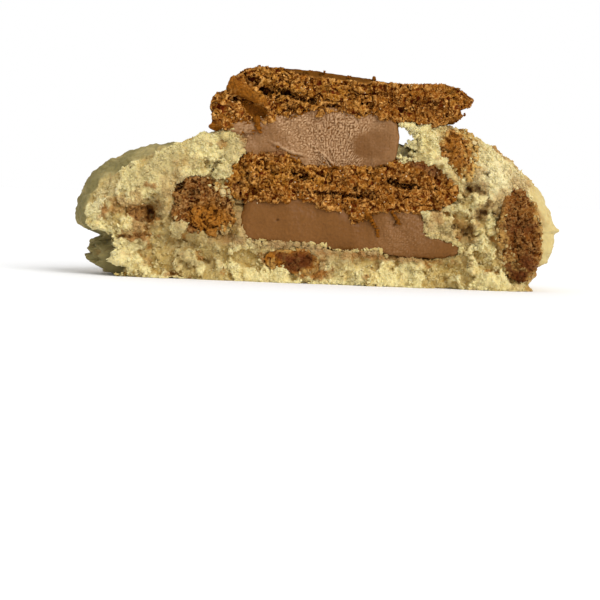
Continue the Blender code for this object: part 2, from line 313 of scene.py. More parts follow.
@dataclass(frozen=True)
class Zone:
    """A block with soft sides, in millimetres."""

    x: Sides | Bump = Sides()
    y: Sides | Bump = Sides()
    z: Sides | Bump = Sides()

    def cover(self, points: Array) -> Array:
        """How far the block holds each place, from 0 to 1."""
        return math.prod(side.share(values) for side, values in zip((self.x, self.y, self.z), points.T))


# How the dough's edges are torn: in long flakes, or in teeth.
FLAKES = Noise(1.5, 51, 2, (1.0, 0.35, 1.0))
TEETH = Noise(1.5, 58, 3, (1.0, 0.5, 1.0))


@dataclass(frozen=True)
class Shift:
    """A zone that is moved right, back and up by millimetres.

    Fan is how much further right it goes for each millimetre of depth. Torn is how far its edge noise
    tears it sideways, and wander how far that noise moves the zone itself up and down.
    """

    zone: Zone
    right: float = 0.0
    back: float = 0.0
    up: float = 0.0
    fan: float = 0.0
    torn: float = 0.0
    wander: float = 0.0
    edge: Noise = FLAKES

    def move(self, points: Array) -> Array:
        """The way that each place goes.

        Args:
            points: Places in millimetres.

        Returns:
            Three millimetres for each place.
        """
        edge = self.edge.at(points) if self.torn or self.wander else np.zeros(len(points))
        way = np.tile([self.right, self.back, self.up], (len(points), 1))
        way[:, 0] += self.fan * points[:, 1] + self.torn * edge
        return self.zone.cover(points + self.wander * np.outer(edge, UP))[:, None] * way


def moved(points: Array, shifts: tuple[Shift, ...]) -> Array:
    """The way that several shifts together move each place, all from where it lies at first."""
    return sum(shift.move(points) for shift in shifts)


# Mesh work


def make_active(piece: Piece) -> None:
    """Leave one piece selected and active.

    Args:
        piece: The piece.
    """
    bpy.ops.object.select_all(action="DESELECT")
    piece.select_set(True)
    bpy.context.view_layer.objects.active = piece


def apply_modifier(piece: Piece, kind: str, **settings: object) -> None:
    """Put a modifier on a piece and apply it.

    Args:
        piece: The piece.
        kind: Blender's name for the modifier.
        settings: Its values.
    """
    make_active(piece)
    modifier = piece.modifiers.new(kind, kind)
    for key, value in settings.items():
        setattr(modifier, key, value)
    bpy.ops.object.modifier_apply(modifier=modifier.name)


def merged_copy(node: str, name: str) -> Piece:
    """A copy of a CAD node's mesh, with its loose triangles merged.

    Args:
        node: The CAD node.
        name: Name of the new piece.

    Returns:
        The new piece, with a mesh of its own.
    """
    piece = bpy.data.objects.new(name, bpy.data.objects[node].data.copy())
    bpy.context.scene.collection.objects.link(piece)
    piece.data.materials.clear()
    make_active(piece)
    bpy.ops.object.mode_set(mode="EDIT")
    bpy.ops.mesh.select_all(action="SELECT")
    bpy.ops.mesh.remove_doubles(threshold=1e-6)
    bpy.ops.object.mode_set(mode="OBJECT")
    return piece


def divide(piece: Piece, chosen: Array, cuts: int) -> None:
    """Divide some faces of a piece.

    Args:
        piece: The piece.
        chosen: True for each face to divide.
        cuts: Number of cuts across each.
    """
    make_active(piece)
    bpy.ops.object.mode_set(mode="EDIT")
    bpy.ops.mesh.select_mode(type="FACE")
    bpy.ops.mesh.select_all(action="DESELECT")
    bpy.ops.object.mode_set(mode="OBJECT")
    piece.data.polygons.foreach_set("select", chosen)
    bpy.ops.object.mode_set(mode="EDIT")
    bpy.ops.mesh.subdivide(number_cuts=cuts)
    bpy.ops.object.mode_set(mode="OBJECT")


# How far the lower cream starts to the left of the face's zero, and ends behind it, in millimetres.
CREAM_START, CREAM_END = 14.3, 25.0


@dataclass(frozen=True)
class FaceFrame:
    """Millimetres on the broken face, against metres in the shared frame."""

    left: float
    front: float

    @classmethod
    def from_solids(cls) -> "FaceFrame":
        """Find the face's own zero by the lower cream, which starts left of it and ends behind it."""
        low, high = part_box("cream_lower")
        return cls(left=low.x + CREAM_START * MM, front=high.y - CREAM_END * MM)

    def to_face(self, places: Array) -> Array:
        """Turn metres in the shared frame into millimetres on the face."""
        return (places - [self.left, self.front, 0.0]) / MM

    def to_shared(self, points: Array) -> Array:
        """Turn millimetres on the face into metres in the shared frame."""
        return points * MM + [self.left, self.front, 0.0]


@dataclass
class Surface:
    """The points of a piece in millimetres, shaped as arrays and written back at the end.

    Stored holds the values that the material reads, by their names.
    """

    piece: Piece
    frame: FaceFrame
    points: Array = field(init=False)
    stored: dict[str, Array] = field(default_factory=dict)

    def __post_init__(self) -> None:
        """Take the points at once."""
        self.read()

    def read(self) -> None:
        """Take the points from the piece's mesh."""
        found = np.zeros(len(self.piece.data.vertices) * 3)
        self.piece.data.vertices.foreach_get("co", found)
        self.points = self.frame.to_face(found.reshape(-1, 3))

    def write(self) -> None:
        """Put the points back into the piece's mesh."""
        placed = self.frame.to_shared(self.points)
        self.piece.data.vertices.foreach_set("co", placed.astype(np.float32).ravel())
        self.piece.data.update()

    def relaxed(self, values: Array, rounds: int) -> Array:
        """Even out values from point to point along the edges.

        Args:
            values: One row for each point.
            rounds: How often each point takes half of its neighbours' mean.

        Returns:
            The evened values.
        """
        edges = self.piece.data.edges
        ends = np.zeros(len(edges) * 2, np.int32)
        edges.foreach_get("vertices", ends)
        start, end = ends[0::2], ends[1::2]
        count = len(self.points)
        near = np.maximum(np.bincount(start, minlength=count) + np.bincount(end, minlength=count), 1)
        columns = np.array(values, float).reshape(count, -1).T.copy()
        for column in columns:
            for _ in range(rounds):
                total = np.bincount(start, column[end], count) + np.bincount(end, column[start], count)
                column += (total / near - column) / 2
        return columns.T.reshape(np.shape(values))

    def outward(self, rounds: int = 0) -> Array:
        """Directions of the points.

        Args:
            rounds: How often they are evened out.

        Returns:
            An outward direction of length 1 for each point.
        """
        self.write()
        found = np.zeros(len(self.points) * 3)
        self.piece.data.vertex_normals.foreach_get("vector", found)
        evened = self.relaxed(found.reshape(-1, 3), rounds) if rounds else found.reshape(-1, 3)
        return evened / np.maximum(np.linalg.norm(evened, axis=1, keepdims=True), TINY)

    def sideways(self, rounds: int = 4) -> Array:
        """Outward directions within the plane of the face, short where a point looks to the front."""
        return self.outward(rounds) * [1.0, 0.0, 1.0]

    def push(self, way: Array, amount: Array) -> None:
        """Move the points along a direction by amounts in millimetres."""
        self.points = self.points + way * np.asarray(amount)[:, None]

    def lump(self, lumps: Lumps, weight: Array, seed: int = 0) -> tuple[Array, Array]:
        """Draw the points towards balls, which leaves lumps with creases between them.

        Args:
            lumps: Size and form of the balls.
            weight: How far each point goes to its ball.
            seed: Added to the lumps' own seed.

        Returns:
            A random share from 0 to 1 for each point's lump, and how near the point lies to a crease.
        """
        size, seed = lumps.size, seed + lumps.seed
        strays = [waves(self.points, 0.9 * size, seed + step) for step in range(3)]
        bent = self.points + lumps.bend * size * np.stack(strays, axis=1)
        away, gap, lot = granules(bent, size, seed)
        far = np.maximum(np.linalg.norm(away, axis=1), TINY)
        reach = size * (lumps.tight + 0.3 * (lot - 0.5))
        self.push(away / far[:, None], weight * (reach - far))
        return lot, 1 - ramp(gap, 0.0, 0.3)

    def hollow(self, rounds: int, depth: float) -> Array:
        """How deep each point lies under the evened surface round it.

        Args:
            rounds: How far round a point the surface is evened.
            depth: Millimetres that count as one.

        Returns:
            About 1 in a pit, 0 on even ground and -1 on a tip.
        """
        lift = np.sum((self.relaxed(self.points, rounds) - self.points) * self.outward(), axis=1)
        return np.clip(lift / depth, -1, 1)

    def store(self, **values: Array) -> None:
        """Keep values for each point, from 0 to 1, as attributes that the material reads.

        Args:
            values: The values by the attribute's name.
        """
        for name, shares in values.items():
            self.stored[name] = np.clip(shares, 0, 1).astype(np.float32)
            layer = self.piece.data.attributes.new(name, "FLOAT", "POINT")
            layer.data.foreach_set("value", self.stored[name])

    def divide_where(self, chosen: Array, cuts: int) -> None:
        """Divide some faces and take the points again.

        Args:
            chosen: True for each face to divide.
            cuts: Number of cuts across each.
        """
        self.write()
        divide(self.piece, chosen, cuts)
        self.read()

    def of_faces(self, key: str, width: int) -> Array:
        """Values of the faces, as Blender holds them.

        Args:
            key: Blender's name for the value.
            width: How many numbers it has.

        Returns:
            One row for each face.
        """
        found = np.zeros(len(self.piece.data.polygons) * width)
        self.piece.data.polygons.foreach_get(key, found)
        return found.reshape(-1, width)

    def middles(self) -> Array:
        """Middles of the faces, in millimetres."""
        return self.frame.to_face(self.of_faces("center", 3))


# Materials


def hex_colour(code: str) -> tuple[float, float, float, float]:
    """Turn an sRGB hex value into linear shares, as the shaders take them.

    Args:
        code: The value, from #000000 to #FFFFFF.

    Returns:
        Red, green and blue, and 1 for opaque.
    """
    shares = [int(code[i : i + 2], 16) / 255 for i in (1, 3, 5)]
    linear = [s / 12.92 if s <= 0.04045 else ((s + 0.055) / 1.055) ** 2.4 for s in shares]
    return (*linear, 1.0)


def add_node(tree: Tree, kind: str, links: dict | None = None, **settings: object) -> bpy.types.Node:
    """Add a node with its settings and links.

    Args:
        tree: The material's or world's nodes.
        kind: Blender's name for the node, less its ShaderNode.
        links: Input name or number to an output socket, or to a value.
        settings: The node's own values.

    Returns:
        The new node.
    """
    node = tree.nodes.new("ShaderNode" + kind)
    for key, value in settings.items():
        setattr(node, key, value)
    for key, value in (links or {}).items():
        if isinstance(value, Socket):
            tree.links.new(value, node.inputs[key])
        else:
            node.inputs[key].default_value = value
    return node


# Numbers of the Mix node's colour sockets.
MIX_A, MIX_B, MIX_RESULT = 6, 7, 2


@dataclass(frozen=True)
class Finish:
    """A food surface: a base colour, tints over it, fine mottling, crumbs, grain and how light enters it.

    Each tint is an attribute of the mesh and the colour that covers the finish where it says so. Sizes
    and depths are millimetres. The crumbs are those too small for the mesh; they fade to the share kept
    where the smooth attribute says so, and the crease shade between them is painted shade. Glow is the
    share of light that goes through the surface layer.
    Wet is an attribute and the roughness that it gives.
    """

    name: str
    slot: Slot
    colour: str
    tints: tuple[tuple[str, str], ...]
    roughness: float
    mottle_mm: float
    mottle: float
    grain_mm: float
    grain_depth_mm: float
    grain: float
    crumb_mm: float = 0.0
    crumb_depth_mm: float = 0.0
    crumb_crease_shade: float = 0.0
    crumb_kept: float = 0.35
    smooth: str = ""
    glow: float = 0.0
    glow_mm: float = 1.0
    glow_reach: tuple[float, float, float] = (1.0, 0.8, 0.5)
    specular: float = 0.5
    wet: tuple[str, float] | None = None

    def build(self) -> bpy.types.Material:
        """Make the material.

        Returns:
            The new material.
        """
        material = bpy.data.materials.new(self.name)
        material.use_nodes = True
        tree = material.node_tree
        shader = tree.nodes["Principled BSDF"]
        place = add_node(tree, "TexCoord").outputs["Object"]
        crease = self.crumb_creases(tree, place) if self.crumb_mm else None
        bright = self.brightness(tree, place, crease)
        spread = add_node(tree, "CombineColor", {i: bright for i in range(3)})
        links = {0: 1.0, MIX_A: self.tinted(tree), MIX_B: spread.outputs[0]}
        mixed = add_node(tree, "Mix", links, data_type="RGBA", blend_type="MULTIPLY")
        tree.links.new(mixed.outputs[MIX_RESULT], shader.inputs["Base Color"])
        self.add_grain(tree, shader, place, crease)
        shader.inputs["Roughness"].default_value = self.roughness
        if self.wet:
            mask = add_node(tree, "Attribute", attribute_name=self.wet[0])
            links = {"Value": mask.outputs["Fac"], 3: self.roughness, 4: self.wet[1]}
            gloss = add_node(tree, "MapRange", links)
            tree.links.new(gloss.outputs[0], shader.inputs["Roughness"])
        shader.inputs["Specular IOR Level"].default_value = self.specular
        shader.inputs["Subsurface Weight"].default_value = self.glow
        shader.inputs["Subsurface Radius"].default_value = self.glow_reach
        shader.inputs["Subsurface Scale"].default_value = self.glow_mm * MM
        return material

    def tinted(self, tree: Tree) -> Socket:
        """Lay the tints over the base colour.

        Args:
            tree: The material's nodes.

        Returns:
            The tinted colour.
        """
        base = add_node(tree, "RGB")
        base.outputs[0].default_value = hex_colour(self.colour)
        colour = base.outputs[0]
        for name, code in self.tints:
            mask = add_node(tree, "Attribute", attribute_name=name)
            links = {0: mask.outputs["Fac"], MIX_A: colour, MIX_B: hex_colour(code)}
            colour = add_node(tree, "Mix", links, data_type="RGBA").outputs[MIX_RESULT]
        return colour

    def brightness(self, tree: Tree, place: Socket, crease: Socket | None) -> Socket:
        """Mottle the surface, and paint shade between the smallest crumbs.

        Args:
            tree: The material's nodes.
            place: The object coordinates.
            crease: 1 between the smallest crumbs, if the finish has any.

        Returns:
            A factor for the colour.
        """
        links = {"Vector": place, "Scale": 1 / (self.mottle_mm * MM), "Detail": 3.0}
        noise = add_node(tree, "TexNoise", links).outputs["Fac"]
        links = {"Value": noise, 1: 0.3, 2: 0.7, 3: 1 - self.mottle, 4: 1 + self.mottle}
        mottled = add_node(tree, "MapRange", links).outputs[0]
        if crease is None:
            return mottled
        darker = add_node(tree, "MapRange", {"Value": crease, 3: 1.0, 4: 1 - self.crumb_crease_shade})
        factors = {0: mottled, 1: darker.outputs[0]}
        return add_node(tree, "Math", factors, operation="MULTIPLY").outputs[0]

    def crumb_creases(self, tree: Tree, place: Socket) -> Socket:
        """Lay out the smallest crumbs.

        Args:
            tree: The material's nodes.
            place: The object coordinates.

        Returns:
            0 on a crumb and 1 in the crease between crumbs.
        """
        size = self.crumb_mm * MM
        stray = add_node(tree, "TexNoise", {"Vector": place, "Scale": 0.8 / size, "Detail": 2.0})
        links = {0: stray.outputs["Color"], 1: (1.1 * size,) * 3, 2: place}
        bent = add_node(tree, "VectorMath", links, operation="MULTIPLY_ADD")
        cells = add_node(tree, "TexVoronoi", {"Vector": bent.outputs[0], "Scale": 1 / size})
        crease = add_node(tree, "MapRange", {"Value": cells.outputs["Distance"], 1: 0.4, 2: 0.95})
        mask = add_node(tree, "Attribute", attribute_name=self.smooth)
        kept = add_node(tree, "MapRange", {"Value": mask.outputs["Fac"], 3: 1.0, 4: self.crumb_kept})
        faded = {0: crease.outputs[0], 1: kept.outputs[0]}
        return add_node(tree, "Math", faded, operation="MULTIPLY").outputs[0]

    def add_grain(self, tree: Tree, shader: bpy.types.Node, place: Socket, crease: Socket | None) -> None:
        """Raise the crumbs and the grain that are too small for the mesh.

        Args:
            tree: The material's nodes.
            shader: Its shader.
            place: The object coordinates.
            crease: 1 between the smallest crumbs, if the finish has any.
        """
        links = {"Vector": place, "Scale": 1 / (self.grain_mm * MM), "Detail": 4.0}
        height = add_node(tree, "TexNoise", links).outputs["Fac"]
        links = {"Height": height, "Strength": self.grain, "Distance": self.grain_depth_mm * MM}
        bump = add_node(tree, "Bump", links)
        if crease is not None:
            links = {"Height": crease, "Distance": self.crumb_depth_mm * MM, "Normal": bump.outputs["Normal"]}
            bump = add_node(tree, "Bump", links, invert=True)
        tree.links.new(bump.outputs["Normal"], shader.inputs["Normal"])


# Cookie dough, baked short: matt, pale yellow, and light sinks a little way into each crumb.
DOUGH_FINISH = Finish(
    name="short_cookie_dough", slot=Slot.DOUGH, colour="#E0CF90",
    # The grey-olive tint is painted shade on the left crust, the tints for hollows and pits are painted
    # shade, the tint for tips is a painted highlight, and the low tint darkens the lower ground.
    tints=(
        ("crust", "#C2AE76"), ("dim", "#80754A"), ("golden", "#BE9A48"), ("low", "#AA8E4E"),
        ("tip", "#E2D3A2"), ("moist", "#94794A"), ("film", "#A07C50"), ("hollow", "#B4862C"),
        ("toast", "#B08648"), ("caramel", "#965C18"), ("deep", "#4A2204"),
    ),
    roughness=0.75, mottle_mm=0.8, mottle=0.08, grain_mm=0.3, grain_depth_mm=0.08, grain=0.4,
    crumb_mm=0.5, crumb_depth_mm=0.12, crumb_crease_shade=0.13, smooth="crust", glow=0.35, glow_mm=0.7,
    specular=0.12, wet=("moist", 0.45),
)

# Spiced caramel biscuit: a dry open crumb of glazed sugar grains, darker and shinier on its baked skin.
BISCUIT_FINISH = Finish(
    name="spiced_biscuit", slot=Slot.BISCUIT, colour="#8E5410",
    # The tint for tips is a painted highlight, those for hollows and voids are painted shade, and the soaked
    # tint is partly painted shade, in the top biscuit's recess.
    tints=(
        ("golden", "#A86E1E"), ("tip", "#DEA65C"), ("soaked", "#5E3204"), ("film", "#8C6440"),
        ("skin", "#643C0A"), ("hollow", "#601E00"), ("deep", "#200A02"),
    ),
    roughness=0.6, mottle_mm=0.9, mottle=0.18, grain_mm=0.3, grain_depth_mm=0.12, grain=0.6,
    crumb_mm=0.4, crumb_depth_mm=0.12, crumb_crease_shade=0.4, smooth="skin", specular=0.06, wet=("skin", 0.7),
)

# Chunks of the same biscuit that have drawn moisture from the dough: redder, softer and less shiny.
CHUNK_FINISH = Finish(
    name="soaked_biscuit", slot=Slot.BISCUIT, colour="#7C480E",
    # The tint for tips is a painted highlight, and the tints for hollows and pits are painted shade.
    tints=(
        ("tip", "#D6AA6A"), ("moist", "#5C2E0C"), ("amber", "#A86A1C"), ("pale", "#C8A058"),
        ("hollow", "#4A1600"), ("deep", "#1C0800"),
    ),
    roughness=0.55, mottle_mm=0.9, mottle=0.18, grain_mm=0.3, grain_depth_mm=0.10, grain=0.5,
    crumb_mm=0.45, crumb_depth_mm=0.12, crumb_crease_shade=0.25, specular=0.08,
)

# Milk-chocolate cream: fat gives a smooth, satin face that shows the pull of the break.
CREAM_FINISH = Finish(
    name="milk_chocolate_cream", slot=Slot.CREAM, colour="#73491C",
    # The pale tint is partly the cream's own tone and partly painted highlights; the shade tint is partly
    # painted shade in hollows; the deep tint is painted shade in creases.
    tints=(
        ("pale", "#C29C74"), ("shade", "#623A0C"), ("deep", "#2E1808"),
    ),
    roughness=0.48, mottle_mm=0.5, mottle=0.09, grain_mm=0.4, grain_depth_mm=0.09, grain=0.6,
    specular=0.18,
)

# Coarse sugar: small clear crystals that look white.
SUGAR_FINISH = Finish(
    name="sugar_grains", slot=Slot.BISCUIT, colour="#CDAE84", tints=(), roughness=0.3, mottle_mm=0.4,
    mottle=0.1, grain_mm=0.2, grain_depth_mm=0.05, grain=0.3, glow=0.3, glow_mm=0.4, specular=0.5,
)


# Dough


# Where the crumb ends and the crust begins on the face, as (x, z) and, for the sides, (z, x).
CRUMB_TOP = (
    (-46.0, 14.0), (-41.9, 17.7), (-38.8, 18.8), (-35.5, 21.6), (-32.9, 22.6), (-30.5, 24.4), (-26.8, 25.6),
    (-22.5, 27.2), (-18.0, 40.0),
)
CRUMB_LEFT = (
    (0.0, -38.2), (1.2, -38.5), (4.0, -39.1), (6.8, -40.2), (8.4, -41.9), (9.1, -42.9), (11.7, -43.4),
    (14.0, -42.8), (16.2, -41.7), (18.5, -40.9),
)
CRUMB_RIGHT = ((0.0, 41.6), (5.0, 41.6), (11.8, 41.2), (17.0, 40.2), (19.9, 39.7), (21.5, 42.0), (24.0, 48.0))

# Holes of the crumb; the strength is their depth.
DOUGH_PITS = spots(
    (-33.8, 12.0, 2.6, 1.3, 2.2, 8), (-32.3, 11.4, 1.0, 0.9, 1.6), (-33.1, 12.1, 1.6, 1.3, 2.3),
    (-34.9, 12.3, 1.3, 0.9, 1.8), (-34.5, 7.8, 2.8, 0.7, 1.0), (-21.4, 22.0, 0.55, 1.2, 1.2),
    (-19.9, 21.6, 0.5, 1.2, 1.6, 35), (-19.8, 18.3, 0.9, 0.4, 1.3, 40), (-15.3, 14.4, 1.4, 0.3, 1.2),
    (29.2, 19.1, 1.5, 0.9, 2.0, 20), (30.8, 15.0, 0.9, 1.9, 1.8, 30), (32.9, 14.6, 0.6, 0.6, 1.2),
    (28.4, 11.0, 2.0, 1.0, 1.5, 15), (25.6, 11.8, 0.5, 0.5, 1.4), (31.3, 21.9, 0.9, 0.4, 1.0, 30),
    (16.1, 23.6, 1.1, 0.8, 1.6), (30.5, 5.0, 0.9, 0.5, 0.9), (19.5, 3.0, 0.8, 0.4, 0.8, 20),
    (-21.0, 3.6, 0.8, 0.4, 0.9, 30), (-25.5, 3.0, 0.9, 0.5, 0.9),
)

# Places where caramel from the biscuit has stained the crumb.
CARAMEL = spots(
    (-40.6, 12.5, 0.7, 0.8, 0.8), (-39.0, 12.6, 1.3, 0.8, 0.6), (-36.2, 14.0, 2.4, 1.4, 0.55),
    (-33.8, 12.0, 3.0, 1.7, 0.85), (-34.4, 7.8, 3.0, 0.8, 0.8), (-33.6, 9.8, 1.8, 1.6, 0.7),
    (-32.5, 17.5, 1.2, 0.7, 0.7), (-34.6, 15.8, 1.0, 0.6, 0.5), (-25.7, 21.9, 1.8, 1.2, 0.3),
    (-18.8, 26.2, 0.9, 1.3, 0.6, 20), (-40.8, 11.3, 0.9, 0.3, 0.55), (33.7, 12.1, 0.8, 1.0, 0.4),
    (9.3, 1.9, 0.5, 0.4, 0.7), (-27.3, 0.8, 1.2, 0.5, 0.6), (-31.9, 3.0, 0.8, 0.8, 0.4),
    (-0.2, 2.0, 2.3, 1.3, 0.95), (0.6, 4.3, 1.6, 0.9, 0.6), (-9.6, 4.4, 1.9, 1.1, 0.85),
    (23.2, 27.5, 1.3, 3.6, 0.5, 14), (26.6, 22.2, 3.0, 1.4, 0.4), (25.9, 25.8, 3.6, 5.0, 0.45, -16),
    (37.9, 10.6, 3.7, 9.4, 0.5, -5), (35.0, 15.5, 2.0, 2.2, 0.5), (22.3, 13.8, 1.5, 1.5, 0.6, 30),
    (-22.1, 13.9, 7.2, 5.0, 0.35, 33), (41.6, 3.8, 1.2, 1.0, 0.8), (33.4, 26.8, 0.9, 0.9, 0.7),
    (35.2, 25.3, 2.2, 0.7, 0.55, 38), (37.3, 23.8, 0.9, 1.1, 0.65), (38.9, 21.6, 0.5, 1.6, 0.45, -20),
    (29.6, 27.8, 2.4, 0.6, 0.35, 38), (12.0, 5.5, 11.0, 0.7, 0.5, 2), (29.2, 19.1, 2.1, 1.4, 0.5, 20),
    (30.8, 15.0, 1.4, 2.4, 0.55, 30), (28.4, 11.0, 2.6, 1.6, 0.45, 15),
)

# Places soaked by the filling: greyer, smoother and a little shiny.
MOIST = spots(
    (-16.0, 13.6, 2.2, 4.2, 0.75), (-29.2, 11.4, 2.6, 2.6, 0.6), (-30.0, 15.4, 1.6, 3.0, 0.5),
    (-7.0, 7.3, 8.0, 1.1, 0.85, 4), (11.0, 6.0, 15.5, 1.0, 0.6, 1), (27.0, 8.8, 1.4, 3.6, 0.55),
    (22.4, 11.0, 2.8, 2.4, 0.6), (25.0, 16.6, 2.2, 3.0, 0.45), (-20.2, 7.6, 3.2, 2.0, 0.5),
    (-24.0, 3.2, 5.0, 1.6, 0.45), (-25.6, 7.6, 5.0, 3.4, 0.55, 15), (-33.0, 6.6, 3.0, 2.4, 0.35),
    (-15.8, 19.6, 1.6, 3.6, 0.45), (-17.0, 25.4, 2.0, 2.4, 0.45), (15.9, 25.6, 1.4, 2.2, 0.6),
    (-30.0, 21.6, 8.5, 2.4, 0.4, -30), (3.4, 4.8, 3.6, 1.3, 0.6, 4),
)

# Places where a thin film of cream lies over the crumb.
FILM = spots(
    (-13.4, 26.2, 1.7, 2.6, 0.85, -12), (-14.2, 11.6, 1.1, 4.4, 0.55), (-14.8, 16.6, 1.4, 1.6, 0.45),
    (20.6, 12.4, 1.4, 2.0, 0.4), (23.6, 9.9, 3.2, 0.7, 0.35, 6), (-5.0, 7.2, 9.5, 1.2, 0.75, 3),
    (11.0, 6.2, 4.4, 0.9, 0.5),
)

# Places where the lower ground between the islands of crumb is set back and painted darker; the strength is
# its share.
LOW_CRUMB = spots(
    (-25.5, 5.5, 7.0, 4.5, 0.85), (-33.5, 11.5, 6.0, 4.0, 0.65), (-36.0, 5.5, 3.5, 3.0, 0.5),
    (-16.5, 17.0, 3.0, 6.0, 0.6), (30.5, 13.0, 5.0, 8.0, 0.6), (25.0, 6.5, 5.0, 3.5, 0.5),
)

# Places where the crumb is closed and bright.
CLOSED_CRUMB = spots(
    (33.2, 22.5, 6.2, 4.8, 1.0, 30), (-27.5, 22.5, 8.0, 2.4, 0.8, -30), (3.0, 2.6, 9.0, 1.6, 0.5),
    (-41.0, 8.0, 1.6, 6.0, 0.5),
)

# Places browned by the oven along the right side's rim.
TOASTED = spots(
    (34.2, 26.4, 1.8, 0.7, 0.8, 32), (38.2, 24.0, 1.0, 1.0, 0.7), (39.8, 21.0, 0.6, 1.2, 0.5),
    (28.4, 30.0, 1.6, 0.5, 0.4, 30),
)

# Places where the crumb is painted paler; at the left edge this is painted light where the face turns away
# from the lamp.
BRIGHT_CRUMB = spots(
    (33.5, 22.6, 6.0, 4.5, 0.75, 35), (-40.6, 15.4, 2.4, 3.4, 0.8, 20), (-38.0, 4.0, 3.0, 3.4, 0.1),
)

# Places where the crumb is loose and full of holes; the strength is how much of that shows.
OPEN_CRUMB = spots(
    (30.5, 13.5, 5.0, 8.5, 0.9), (19.0, 25.5, 2.5, 3.5, 0.5), (-19.5, 19.5, 4.0, 4.0, 0.9),
    (-36.0, 12.5, 5.0, 4.0, 0.8), (-28.0, 4.5, 6.0, 3.0, 0.7), (26.0, 3.0, 9.0, 2.5, 0.6),
    (4.0, 2.2, 12.0, 1.8, 0.4),
)

# The gap beside the upper cream, and how deep the right wall of it is set back.
GAP = Zone(x=Sides(12.0, 13.6, 18.4, 20.0), z=after(22.5, 24.5))
GAP_WALL = Sides(15.0, 15.8, 17.2, 22.5)
GAP_DEPTH = Sides(1.5, 6.0, 26.0, 34.0)

# Depths that the changes to the rim and to the face reach.
RIM = until(12.0, 20.0)
FACE = until(4.0, 8.0)

# Crust that lies further back than the crumb: the left cap, the flap at its foot and the right band.
SUNK_CRUST = (
    Shift(Zone(x=until(-24.0, -20.0), y=until(6.0, 16.0), z=after(12.0, 16.0)), back=1.6),
    Shift(Zone(x=until(-37.0, -36.0), y=until(6.0, 16.0), z=until(9.0, 11.0)), back=3.0),
    Shift(Zone(x=after(36.0, 38.0), y=until(6.0, 16.0)), back=0.8),
)

# The torn rim: the gap's wall and roof, the mound on the left, the flap's teeth and the notch over it,
# the left cheek and brow, the right foot, and the spike and the nub of the right side.
TORN_RIM = (
    Shift(Zone(x=GAP_WALL, y=GAP_DEPTH, z=after(24.5, 26.0)), right=0.9, fan=0.06),
    Shift(Zone(x=GAP_WALL, y=until(3.0, 8.0), z=after(24.5, 26.0)), torn=1.1),
    Shift(Zone(x=Sides(13.0, 14.0, 18.0, 22.0), y=GAP_DEPTH, z=Sides(28.0, 29.5, 31.5, 34.5)), up=1.4),
    Shift(Zone(x=Bump(-18.2, 2.6), y=until(3.0, 6.0), z=after(25.5, 27.5)), up=0.9),
    Shift(Zone(x=until(-40.0, -34.0), y=RIM, z=until(5.5, 7.0)), right=0.8, torn=2.2, edge=TEETH),
    Shift(Zone(x=until(-42.5, -38.5), y=until(18.0, 28.0), z=Bump(7.6, 1.1, 4)), right=3.6, wander=0.4),
    Shift(Zone(x=until(-44.0, -38.0), y=RIM, z=Sides(8.5, 10.0, 17.0, 24.0)), right=-0.8),
    Shift(Zone(until(-32.0, -26.0), Sides(4.0, 8.0, 20.0, 30.0), after(14.0, 18.0)), right=-0.32, up=0.72),
    Shift(Zone(x=after(38.0, 42.0), y=RIM, z=Sides(0.2, 1.0, 4.5, 6.0)), right=-1.4, torn=0.5),
    Shift(Zone(x=after(42.0, 44.0), y=Bump(9.0, 5.0), z=Bump(11.7, 0.45)), right=1.3),
    Shift(Zone(x=Bump(33.2, 0.7), y=RIM, z=after(25.0, 27.0)), up=0.9),
)

# The fine crack in the right side's crust.
RIM_CRACK = (Shift(Zone(x=after(40.0, 42.0), y=RIM, z=Bump(11.2, 0.22)), back=0.5),)

# Dough that comes down over the lower cream's right end, and up under its middle and left corner.
CLOSED_ROOMS = (
    Shift(Zone(x=Sides(19.0, 22.5, 27.0, 28.5), y=FACE, z=Sides(8.6, 9.6, 11.0, 15.5)), up=-1.7),
    Shift(Zone(x=Bump(10.6, 3.0), y=FACE, z=Sides(2.0, 4.5, 8.0, 9.5)), up=0.8),
    Shift(Zone(x=Bump(-13.0, 1.8), y=FACE, z=Sides(2.0, 4.5, 8.0, 9.5)), up=0.3),
    Shift(Zone(x=Bump(-7.6, 3.6, 4), y=FACE, z=Sides(2.0, 4.5, 8.0, 9.5)), up=0.35),
)


@dataclass(frozen=True)
class Strength:
    """How strong a thing is on plain crumb, and how much more where the crumb is open or closed."""

    plain: float
    opened: float
    closed: float = 0.0

    def on(self, opened: Array, closed: Array) -> Array:
        """The strength at each point, from how open and how closed the crumb is there."""
        return self.plain + self.opened * opened + self.closed * closed


@dataclass
class Crack:
    """The crack in the crust behind the top biscuit, where the gap beside the cream comes out."""

    frame: FaceFrame
    cuts: int = 11
    left: float = 16.9
    start: float = 24.0
    length: float = 17.5
    middle: float = 32.4
    height: float = 14.0
    width: float = 3.1
    least: float = 0.3
    wander: float = 0.9
    uneven: float = 0.2
    path: Noise = Noise(3.0, 81, 1, (0.0, 18.0, 3.0))
    walls: Noise = Noise(1.4, 82, 1, (3.0, 18.0, 9.0))

    def cut(self, piece: Piece) -> None:
        """Cut the crack, which narrows towards the back, out of a piece.

        Args:
            piece: The dough, before it is evened.
        """
        bpy.ops.object.select_all(action="DESELECT")
        bpy.ops.mesh.primitive_cube_add(size=1.0)
        cutter = bpy.context.object
        bpy.ops.object.mode_set(mode="EDIT")
        bpy.ops.mesh.subdivide(number_cuts=self.cuts)
        bpy.ops.object.mode_set(mode="OBJECT")
        block = np.array([point.co[:] for point in cutter.data.vertices])
        along = block[:, 1] + 0.5
        stray = self.wander * self.path.at(block)
        width = (self.width * (1 - along) ** 0.5 + self.least) * (1 + self.uneven * self.walls.at(block))
        x = self.left + along + block[:, 0] * width + along * stray
        surface = Surface(cutter, self.frame)
        back, height = self.start + self.length * along, self.middle + self.height * block[:, 2]
        surface.points = np.stack([x, back, height], axis=1)
        surface.write()
        apply_modifier(piece, "BOOLEAN", operation="DIFFERENCE", object=cutter, solver="EXACT")
        bpy.data.objects.remove(cutter)


